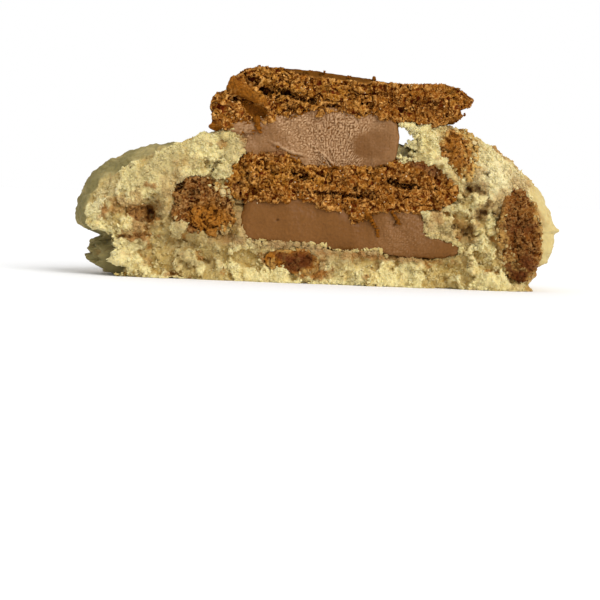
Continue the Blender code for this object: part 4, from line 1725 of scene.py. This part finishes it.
UPPER_CREAM = dict(
    drag=spots((-2.0, 28.5, 12.0, 5.0, 0.6), (2.5, 27.5, 5.5, 6.0)),
    calm=spots((9.6, 26.8, 4.2, 2.5), (-10.5, 27.2, 3.6, 3.0, 0.5)),
    creases=spots((2.0, 22.6, 2.6, 0.2, 0.4, 34), (-6.6, 24.9, 2.8, 0.2, 0.3, 18)),
    ridges=spots((-6.8, 25.5, 2.7, 0.25, 0.3, 18), (1.1, 23.5, 2.4, 0.3, 0.3, 33)),
    drape=spots((-15.0, 29.4, 2.6, 1.3)),
    glint=1.1,
    pale=0.18,
    free_end=14.0,
)
LOWER_CREAM = dict(
    drag=spots((16.0, 10.5, 6.0, 4.0, 0.4)),
    creases=spots((-7.6, 11.9, 0.25, 0.25, 0.6), (14.3, 12.4, 0.9, 0.2, 0.35, -60)),
    glint=0.6,
    roof=LOWER_ROOF,
    floor=LOWER_FLOOR,
)


# Chunks


@dataclass
class Chunk(Inner):
    """A chunk of biscuit in the dough, opened by the break.

    Coarse is the strength of its relief. Moist, pale and warm are how dark, flecked and amber at the
    border it is, and bright is how strong the painted highlight on its tips is. Outside its extent it is
    mixed with dough.
    """

    extent: Spot = Spot(0.0, 0.0, 1.0, 1.0)
    coarse: float = 1.0
    moist: float = 0.4
    pale: float = 0.15
    warm: float = 0.75
    bright: float = 0.8
    amber: tuple[Spot, ...] = ()
    soaked: tuple[Spot, ...] = ()
    pits: tuple[Spot, ...] = ()
    rounds: int = 2
    fine_depth: float = 4.5
    grow: float = 0.8
    clumps: Lumps = Lumps(0.95, 3, 0.5, 0.35)
    grains: Lumps = Lumps(0.5, 4)
    grain_rows: float = 9.0
    border: Array = field(init=False)

    def shape(self) -> None:
        """Close the gap to the dough, and break the opened side up into grains."""
        surface = self.surface
        ragged = self.noise(surface.points, 1.8, 9, 2)
        surface.push(surface.sideways(), self.grow + 0.5 * ragged)
        points = surface.points
        front = 1 - ramp(points[:, 1], 3.5, 4.5)
        surface.push(surface.outward(5), 0.5 * self.coarse * self.noise(points, 2.2, 0, 2))
        surface.push(BACK, covered(self.pits, points, ragged=0.7, soft=0.5))
        lot, _ = surface.lump(self.clumps, front * 0.5 * self.coarse, self.seed)
        surface.push(BACK, self.coarse * 0.8 * surface.relaxed((lot < 0.25) * front, 1))
        lot, _ = surface.lump(self.grains, front * 0.6 * self.coarse, self.seed)
        surface.push(BACK, 0.3 * self.coarse * (lot < 0.2) * front)
        surface.push(surface.outward(2), 0.05 * self.noise(surface.points, 0.3, 5, 1))

    def paint(self) -> None:
        """Store where the material changes, and where loose grains and crumbs of dough may lie."""
        surface = self.surface
        points = surface.points
        fine = surface.hollow(3, 0.13)
        broad = surface.hollow(12, 0.45)
        moist = self.moist * (0.6 + 0.6 * self.noise(points, 3.0, 7))
        flecks = self.pale * ramp(self.noise(points, 0.9, 8, 1), 0.2, 0.7)
        border = 1 - self.extent.cover(points, 0.4, 0.45)
        mixed = self.bright * ramp(border + 0.35 * self.noise(points, 1.0, 6), 0.35, 0.9)
        amber = covered(self.amber, points, ragged=0.5, soft=0.6)
        surface.store(
            # Painted highlight on raised tips.
            tip=ramp(-fine, 0.0, 0.9) * self.bright,
            moist=np.maximum(moist, covered(self.soaked, points, ragged=0.4, soft=0.7)),
            pale=np.maximum(flecks, mixed),
            amber=np.maximum(amber, self.warm * ramp(border, 0.1, 0.6)),
            # Painted shade in hollows and pits.
            hollow=0.85 * ramp(fine, -0.1, 0.8) + 0.6 * ramp(broad, 0.0, 0.9),
            deep=covered(self.pits, points, ragged=0.7, soft=0.3) / 2 * ramp(broad, -0.1, 0.6),
        )
        front = points[:, 1] < 2.5
        self.border = ramp(border, 0.2, 1.0) * front
        self.loose = front * (1 - 0.8 * surface.stored["deep"])

    def grain_count(self) -> int:
        """Number of loose grains, by the size of the opened side."""
        return int(self.grain_rows * np.prod(np.ptp(self.surface.points[:, ::2], axis=0)) * self.coarse)


# The node, seed and looks of each chunk.
CHUNKS = (
    ("chunk_left", 900, dict(
        extent=Spot(-22.4, 14.0, 8.8, 5.1, 1.0, 41), warm=0.5, bright=0.55,
        amber=spots((-20.0, 11.0, 4.0, 3.0, 0.8, 33)), pits=spots((-26.9, 17.6, 0.8, 2.0, 1.4, 20)),
    )),
    ("chunk_upper_right", 920, dict(
        extent=Spot(25.5, 25.8, 2.6, 4.8, 1.0, -20), coarse=0.85, moist=0.0, pale=0.7, bright=1.0,
        amber=spots((25.5, 25.8, 3.4, 6.0, 0.6, -20)),
    )),
    ("chunk_outer_right", 940, dict(
        extent=Spot(38.4, 10.4, 3.4, 10.2, 1.0, -5), coarse=0.75, moist=0.5, pale=0.1, warm=0.2, bright=0.5,
        soaked=spots((38.8, 3.4, 3.4, 3.6, 0.95)),
    )),
    ("chunk_bottom", 960, dict(
        extent=Spot(-4.6, 4.0, 6.0, 2.0, 1.0, 4), coarse=0.5, moist=0.8, pale=0.1, warm=0.4, bright=0.6,
        amber=spots((-8.9, 4.0, 1.7, 1.5, 0.9)), soaked=spots((-4.6, 4.4, 4.0, 1.5, 1.0, 4)),
    )),
)


# Crumbs and sugar


def rough_ball(level: int) -> tuple[Array, Array]:
    """A ball that grains are bent from.

    Args:
        level: How finely it is divided.

    Returns:
        Its points, of radius 1, and the three corners of each face.
    """
    bpy.ops.object.select_all(action="DESELECT")
    bpy.ops.mesh.primitive_ico_sphere_add(subdivisions=level, radius=1.0)
    ball = bpy.context.object
    points = np.array([point.co[:] for point in ball.data.vertices])
    faces = np.array([face.vertices[:] for face in ball.data.polygons])
    bpy.data.objects.remove(ball)
    return points, faces


def joined(name: str, frame: FaceFrame, grains: Array, faces: Array) -> Surface:
    """Join grains of one build into one piece.

    Args:
        name: Name of the piece.
        frame: Where the face lies.
        grains: The points of each grain, in millimetres.
        faces: The corners of one grain's faces.

    Returns:
        The new piece's points.
    """
    count, corners = grains.shape[:2]
    corner = (faces + corners * np.arange(count)[:, None, None]).reshape(-1, 3)
    mesh = bpy.data.meshes.new(name)
    mesh.from_pydata(frame.to_shared(grains.reshape(-1, 3)).tolist(), [], corner.tolist())
    piece = bpy.data.objects.new(name, mesh)
    bpy.context.scene.collection.objects.link(piece)
    return Surface(piece, frame)


@dataclass
class Scatter:
    """Crumbs at given places, in millimetres and with given radii, joined into one mesh.

    Shares are what the material's attributes hold all over, and film is where cream covers the crumbs.
    """

    frame: FaceFrame
    name: str
    places: Array
    sizes: Array
    seed: int
    shares: dict[str, float] = field(default_factory=dict)
    film: tuple[Spot, ...] = ()
    uneven: float = 0.35
    surface: Surface = field(init=False)

    def build(self) -> Piece:
        """Make every crumb as a small uneven ball at its place.

        Returns:
            The finished piece.
        """
        ball, faces = rough_ball(2)
        spread = np.random.default_rng(self.seed)
        balls = []
        for index, (place, size) in enumerate(zip(self.places, self.sizes)):
            bulge = 1 + self.uneven * waves(ball * 2 + place, 0.9, self.seed + index)[:, None]
            balls.append(place + ball * bulge * spread.uniform(0.7, 1.2, 3) * size)
        self.surface = joined(self.name, self.frame, np.array(balls), faces)
        points = self.surface.points
        self.surface.store(**{name: np.full(len(points), share) for name, share in self.shares.items()})
        if self.film:
            self.surface.store(film=covered(self.film, points, ragged=0.6, soft=0.8))
        return self.surface.piece


@dataclass
class Grains:
    """Loose grains that stick to a broken surface and take its colours, joined into one mesh.

    Weight says where on the host they lie, least and most are their radii in millimetres, and rise is
    how far they stand off, as a share of their size. Stains are shares that vary from grain to grain.
    """

    host: Surface
    name: str
    weight: Array
    count: int
    least: float
    most: float
    seed: int
    rise: float = 0.0
    stains: dict[str, float] = field(default_factory=dict)

    def build(self) -> Piece:
        """Make every grain at a seeded point of the host, as a small uneven lump.

        Returns:
            The finished piece.
        """
        spread = np.random.default_rng(self.seed)
        share = np.clip(self.weight, 0, None)
        picked = spread.choice(len(share), self.count, replace=False, p=share / share.sum())
        ball, faces = rough_ball(1)
        size = self.least + (self.most - self.least) * spread.random((self.count, 1, 1)) ** 2
        turns, _ = np.linalg.qr(spread.normal(size=(self.count, 3, 3)))
        uneven = 1 + spread.uniform(-0.5, 0.5, (self.count, len(ball), 1))
        shape = (ball * uneven * spread.uniform(0.45, 1.35, (self.count, 1, 3))) @ turns
        out = self.host.outward(2)[picked][:, None]
        points = self.host.points[picked][:, None] + out * size * self.rise + shape * size
        points[:, :, 2] = np.maximum(points[:, :, 2], 0.0)
        surface = joined(self.name, self.host.frame, points, faces)
        # Painted light on each grain: the side that faces into the host is shaded darker, and the outer side
        # gets a random painted highlight.
        inner = (np.sum(shape * out, axis=2) < 0).ravel()
        for name, values in self.host.stored.items():
            kept = np.repeat(values[picked], len(ball))
            if name == "hollow":
                kept = 0.3 * kept + 0.15 * inner
            if name == "tip":
                kept = 0.5 * kept + np.repeat(0.5 * spread.random(self.count), len(ball)) * ~inner
            surface.store(**{name: kept})
        for name, share in self.stains.items():
            surface.store(**{name: share * np.repeat(spread.random(self.count) ** 0.5, len(ball))})
        return surface.piece


def picked_places(piece: Piece, frame: FaceFrame, count: int, seed: int, reach: float = 1.6) -> Array:
    """Choose seeded places on the front of a piece.

    Args:
        piece: The piece that the grains lie on.
        frame: Where the face lies.
        count: How many places.
        seed: Changes the choice.
        reach: How far behind the face they may lie.

    Returns:
        The places, in millimetres.
    """
    points = Surface(piece, frame).points
    front = points[points[:, 1] < reach]
    return np.random.default_rng(seed).choice(front, count, replace=False)


# Crumbs of dough beside the upper cream: x, y, z and size.
GAP_CRUMBS = (
    (14.9, 1.0, 23.4, 0.6), (15.9, 0.6, 23.3, 0.55), (16.9, 0.8, 23.8, 0.6), (14.7, 1.6, 24.4, 0.6),
    (15.8, 1.2, 24.2, 0.5), (15.0, 4.6, 25.7, 1.2), (16.0, 5.0, 24.9, 1.2), (14.6, 4.8, 26.4, 0.7),
    (14.9, 0.5, 30.6, 0.6), (15.8, 0.3, 30.5, 0.7), (16.8, 0.3, 30.3, 0.75), (17.6, 0.6, 29.8, 0.7),
    (17.9, 0.8, 28.6, 0.5), (17.6, 1.3, 26.6, 0.6), (17.0, 2.0, 25.3, 0.7), (17.7, 0.9, 24.9, 0.5),
    (15.4, 0.5, 30.4, 0.3), (16.7, 0.3, 29.9, 0.35), (17.5, 0.7, 27.4, 0.4), (15.2, 0.6, 23.0, 0.4),
    (17.3, 1.0, 29.4, 0.55), (16.7, 1.4, 29.2, 0.35), (17.5, 0.9, 28.1, 0.35), (17.1, 1.2, 27.2, 0.5),
    (16.5, 1.5, 26.9, 0.45), (16.0, 0.6, 29.8, 0.35), (17.0, 1.2, 26.6, 0.5), (15.8, 2.0, 26.8, 0.4),
    (16.4, 1.2, 27.5, 0.3), (17.2, 1.1, 28.6, 0.25),
)

# Crumbs of biscuit on the baked top and in threads over the lower cream: x, y, z and size.
BISCUIT_CRUMBS = (
    (-2.6, 1.2, 39.9, 0.3), (-0.1, 1.4, 39.9, 0.22), (4.6, 1.3, 39.2, 0.3), (9.3, 1.2, 39.0, 0.28),
    (-12.3, 0.9, 40.5, 0.26), (12.6, 0.8, 38.2, 0.2), (27.0, 0.6, 34.9, 0.3), (26.6, 0.4, 33.0, 0.25),
    (9.0, -0.1, 13.6, 0.5), (9.5, -0.1, 13.0, 0.42), (9.9, -0.1, 12.4, 0.4), (10.3, 0.0, 11.8, 0.36),
    (10.6, 0.0, 11.2, 0.34), (10.9, 0.1, 10.6, 0.3), (11.1, 0.1, 10.0, 0.26), (11.2, 0.1, 9.5, 0.2),
    (13.7, 0.0, 14.1, 0.4), (14.1, 0.0, 13.5, 0.34), (14.5, 0.1, 13.0, 0.3), (14.9, 0.1, 12.5, 0.26),
    (15.1, 0.1, 12.0, 0.2), (-12.4, -0.2, 30.4, 0.7), (-12.2, -0.2, 29.6, 0.6), (-12.0, -0.2, 28.9, 0.5),
    (-11.8, -0.1, 28.3, 0.3), (-14.6, 0.2, 30.5, 0.5),
)

# Dough over the left end of the upper cream and the borders of the lower one: x, y, z and size.
BORDER_CRUMBS = (
    (-15.6, 0.9, 27.4, 1.3), (-15.2, 0.9, 26.0, 1.4), (-16.4, 0.9, 25.2, 1.3), (-15.4, 1.0, 24.6, 1.2),
    (-16.8, 0.8, 26.6, 1.3), (-17.0, 0.8, 28.0, 1.2), (-14.6, 1.0, 25.2, 1.0), (-18.2, 0.9, 27.2, 1.3),
    (20.2, 0.9, 10.9, 0.8), (21.2, 0.8, 10.3, 0.8), (22.3, 0.9, 9.9, 0.7), (23.5, 0.8, 9.6, 0.75),
    (24.6, 0.9, 9.2, 0.7), (25.6, 0.8, 9.0, 0.7), (26.4, 0.9, 8.4, 0.6), (26.9, 0.9, 7.4, 0.6),
    (-13.9, 0.9, 7.7, 0.6), (-12.8, 0.9, 7.4, 0.6), (-11.4, 0.9, 7.3, 0.6), (10.4, 0.9, 6.2, 0.6),
    (11.6, 0.9, 6.2, 0.6), (9.2, 0.9, 5.9, 0.5), (12.9, 0.9, 5.8, 0.5), (-9.9, 0.9, 7.2, 0.6),
    (-8.4, 0.9, 7.2, 0.6), (-6.9, 0.8, 7.3, 0.7), (-5.4, 0.8, 7.4, 0.7), (20.1, 1.0, 11.9, 0.6),
    (20.2, 1.0, 13.0, 0.6), (20.3, 1.0, 14.1, 0.6), (-4.0, 0.8, 7.4, 0.75), (-2.6, 0.8, 7.4, 0.7),
    (-1.2, 0.8, 7.2, 0.7), (0.2, 0.8, 6.9, 0.65), (-4.8, 0.9, 6.5, 0.6), (-3.2, 0.9, 6.6, 0.6),
    (-1.8, 0.9, 6.4, 0.6), (-0.6, 0.9, 5.9, 0.6), (0.5, 0.9, 5.1, 0.6), (0.9, 1.0, 4.2, 0.5),
    (-1.9, 0.9, 7.7, 0.45), (-3.6, 1.0, 7.8, 0.45), (1.4, 0.9, 6.4, 0.6),
)


# Scene


@dataclass
class Studio:
    """Plain pale floor, soft light and the camera."""

    frame: FaceFrame
    width_mm: float = 113.2
    distance_mm: float = 380.0
    elevation: float = 3.0
    roll: float = 2.2
    aim: tuple[float, float] = (-3.0, -3.1)
    sun_from: tuple[float, float, float] = (0.50, -0.66, 0.62)
    sun_power: float = 2.3
    sun_angle: float = 40.0
    room: float = 0.70
    floor_m: float = 12.0
    sensor_mm: float = 36.0
    clip_m: float = 0.01

    def build(self) -> None:
        """Make the floor, the light, the white room and the camera."""
        bpy.context.scene.view_settings.view_transform = "Standard"
        self.add_floor()
        self.add_light()
        self.add_room()
        self.add_camera()

    def add_floor(self) -> None:
        """A wide white floor."""
        bpy.ops.object.select_all(action="DESELECT")
        bpy.ops.mesh.primitive_plane_add(size=self.floor_m)
        floor = bpy.context.object
        floor.name = "floor"
        material = bpy.data.materials.new("matt_white_card")
        material.use_nodes = True
        shader = material.node_tree.nodes["Principled BSDF"]
        shader.inputs["Base Color"].default_value = hex_colour("#FBFBFB")
        shader.inputs["Roughness"].default_value = 0.9
        floor.data.materials.append(material)

    def add_light(self) -> None:
        """A big soft key from the upper right, as a sun so that it falls evenly on the floor."""
        data = bpy.data.lights.new("key", "SUN")
        data.energy = self.sun_power
        data.angle = math.radians(self.sun_angle)
        lamp = bpy.data.objects.new("key", data)
        bpy.context.scene.collection.objects.link(lamp)
        lamp.location = self.sun_from
        lamp.rotation_euler = (-Vector(self.sun_from)).to_track_quat("-Z", "Y").to_euler()

    def add_room(self) -> None:
        """An even white room that the camera sees as pure white."""
        world = bpy.data.worlds.new("white_room")
        bpy.context.scene.world = world
        world.use_nodes = True
        tree = world.node_tree
        shade = tree.nodes["Background"]
        shade.inputs["Color"].default_value = (1, 1, 1, 1)
        shade.inputs["Strength"].default_value = self.room
        seen = add_node(tree, "Background", {"Color": (1, 1, 1, 1), "Strength": 1.0})
        path = add_node(tree, "LightPath")
        mix = add_node(
            tree,
            "MixShader",
            {0: path.outputs["Is Camera Ray"], 1: shade.outputs[0], 2: seen.outputs[0]},
        )
        tree.links.new(mix.outputs[0], tree.nodes["World Output"].inputs["Surface"])

    def add_camera(self) -> None:
        """The camera looks along +Y, a little from above and turned, as the photograph does."""
        data = bpy.data.cameras.new("camera")
        data.sensor_width = self.sensor_mm
        data.lens = self.sensor_mm * self.distance_mm / self.width_mm
        data.clip_start = self.clip_m
        camera = bpy.data.objects.new("camera", data)
        bpy.context.scene.collection.objects.link(camera)
        tilt = math.radians(self.elevation)
        target = Vector((self.frame.left + self.aim[0] * MM, self.frame.front, self.aim[1] * MM))
        back = Vector((0.0, -math.cos(tilt), math.sin(tilt)))
        camera.location = target + back * self.distance_mm * MM
        turn = (-back).to_track_quat("-Z", "Y").to_matrix().to_4x4()
        camera.rotation_euler = (turn @ Matrix.Rotation(math.radians(self.roll), 4, "Z")).to_euler()
        bpy.context.scene.camera = camera


@dataclass
class Dressing:
    """Gives finished pieces their material and their body."""

    made: dict[str, bpy.types.Material] = field(default_factory=dict)

    def dress(self, piece: Piece, finish: Finish, node: str = "", flat: bool = False) -> None:
        """Finish a piece and report it.

        Args:
            piece: The piece.
            finish: Its finish.
            node: The CAD node that it replaces, if any.
            flat: True for small grains, whose facets catch the light.
        """
        if finish.name not in self.made:
            self.made[finish.name] = finish.build()
        piece.data.materials.append(self.made[finish.name])
        make_active(piece)
        if flat:
            bpy.ops.object.shade_flat()
        else:
            bpy.ops.object.shade_smooth()
        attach(piece, "root")
        if node:
            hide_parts(node)
        LOG.info("%s: %d faces", piece.name, len(piece.data.polygons))

    def scatter(self, grains: Grains, finish: Finish) -> None:
        """Build loose grains and finish them."""
        self.dress(grains.build(), finish, flat=True)


# The name, places, number of loose grains, finish and attributes of the crumbs that lie in rows.
CRUMB_ROWS = (
    ("gap_crumbs", GAP_CRUMBS, 500, DOUGH_FINISH, {"tip": 0.2}),
    ("border_crumbs", BORDER_CRUMBS, 1300, DOUGH_FINISH, {"moist": 0.25, "golden": 0.2}),
    ("biscuit_crumbs", BISCUIT_CRUMBS, 300, BISCUIT_FINISH, {"soaked": 0.3}),
)


def main() -> None:
    """Build every piece in order and report it."""
    logging.basicConfig(level=logging.INFO, format="%(message)s")
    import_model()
    frame = FaceFrame.from_solids()
    dressing = Dressing()
    dough = Dough(frame)
    dressing.dress(dough.build(), DOUGH_FINISH, "dough")
    grains = Grains(dough.surface, "dough_grains", dough.loose, 5500, least=0.12, most=0.40, seed=11)
    dressing.scatter(grains, DOUGH_FINISH)
    sizes = {"least": 0.08, "most": 0.2, "rise": 0.1}
    grains = Grains(dough.surface, "dough_fine_grains", dough.loose, 6000, seed=16, **sizes)
    dressing.scatter(grains, DOUGH_FINISH)
    top = TopBiscuit(frame, "biscuit_top", "top_biscuit", 500, pits=TOP_PITS)
    looks = {"pits": MIDDLE_PITS, "soaked": MIDDLE_SOAKED, "film": MIDDLE_FILM}
    middle = Biscuit(frame, "biscuit_middle", "middle_biscuit", 600, **looks)
    for biscuit, name, count, seed in ((top, "top_grains", 4200, 12), (middle, "middle_grains", 3800, 13)):
        dressing.dress(biscuit.build(), BISCUIT_FINISH, biscuit.node)
        grains = Grains(biscuit.surface, name, biscuit.loose, count, least=0.06, most=0.2, seed=seed)
        dressing.scatter(grains, BISCUIT_FINISH)
    upper = Cream(frame, "cream_upper", "upper_cream", 700, **UPPER_CREAM)
    dressing.dress(upper.build(), CREAM_FINISH, "cream_upper")
    grains = Grains(upper.surface, "upper_cream_grains", upper.loose, 420, least=0.08, most=0.3, seed=17)
    dressing.scatter(grains, BISCUIT_FINISH)
    lower = Cream(frame, "cream_lower", "lower_cream", 800, **LOWER_CREAM)
    dressing.dress(lower.build(), CREAM_FINISH, "cream_lower")
    below = lower.loose * (lower.surface.points[:, 2] < 10.5)
    looks = {"rise": -0.3, "stains": {"golden": 0.5, "caramel": 0.2}}
    grains = Grains(lower.surface, "lower_cream_grains", below, 130, least=0.2, most=0.6, seed=18, **looks)
    dressing.scatter(grains, DOUGH_FINISH)
    looks = {"least": 0.12, "most": 0.5, "rise": -0.2, "stains": {"golden": 0.6, "caramel": 0.35}}
    for node, seed, settings in CHUNKS:
        chunk = Chunk(frame, node, node + "_crumb", seed, **settings)
        dressing.dress(chunk.build(), CHUNK_FINISH, node)
        host, count = chunk.surface, chunk.grain_count()
        grains = Grains(host, node + "_grains", chunk.loose, count, least=0.08, most=0.28, seed=seed + 14)
        dressing.scatter(grains, CHUNK_FINISH)
        name = node + "_dough_grains"
        grains = Grains(host, name, chunk.border, count // 5, seed=seed + 15, **looks)
        dressing.scatter(grains, DOUGH_FINISH)
    picks = [picked_places(piece.surface.piece, frame, 60, seed) for piece, seed in ((top, 1), (middle, 2))]
    places = np.concatenate(picks)
    sizes = np.random.default_rng(5).uniform(0.08, 0.16, len(places))
    dressing.dress(Scatter(frame, "sugar", places, sizes, 71).build(), SUGAR_FINISH)
    for name, crumbs, count, finish, shares in CRUMB_ROWS:
        listed = np.array(crumbs)
        balls = Scatter(frame, name, listed[:, :3], listed[:, 3], 72, shares, FILM)
        dressing.dress(balls.build(), finish)
        front = 1.0 * (balls.surface.points[:, 1] < 1.5)
        count = min(count, int(0.5 * front.sum()))
        grains = Grains(balls.surface, name + "_grains", front, count, least=0.1, most=0.3, seed=73)
        dressing.scatter(grains, finish)
    Studio(frame).build()


if __name__ == "__main__":
    main()
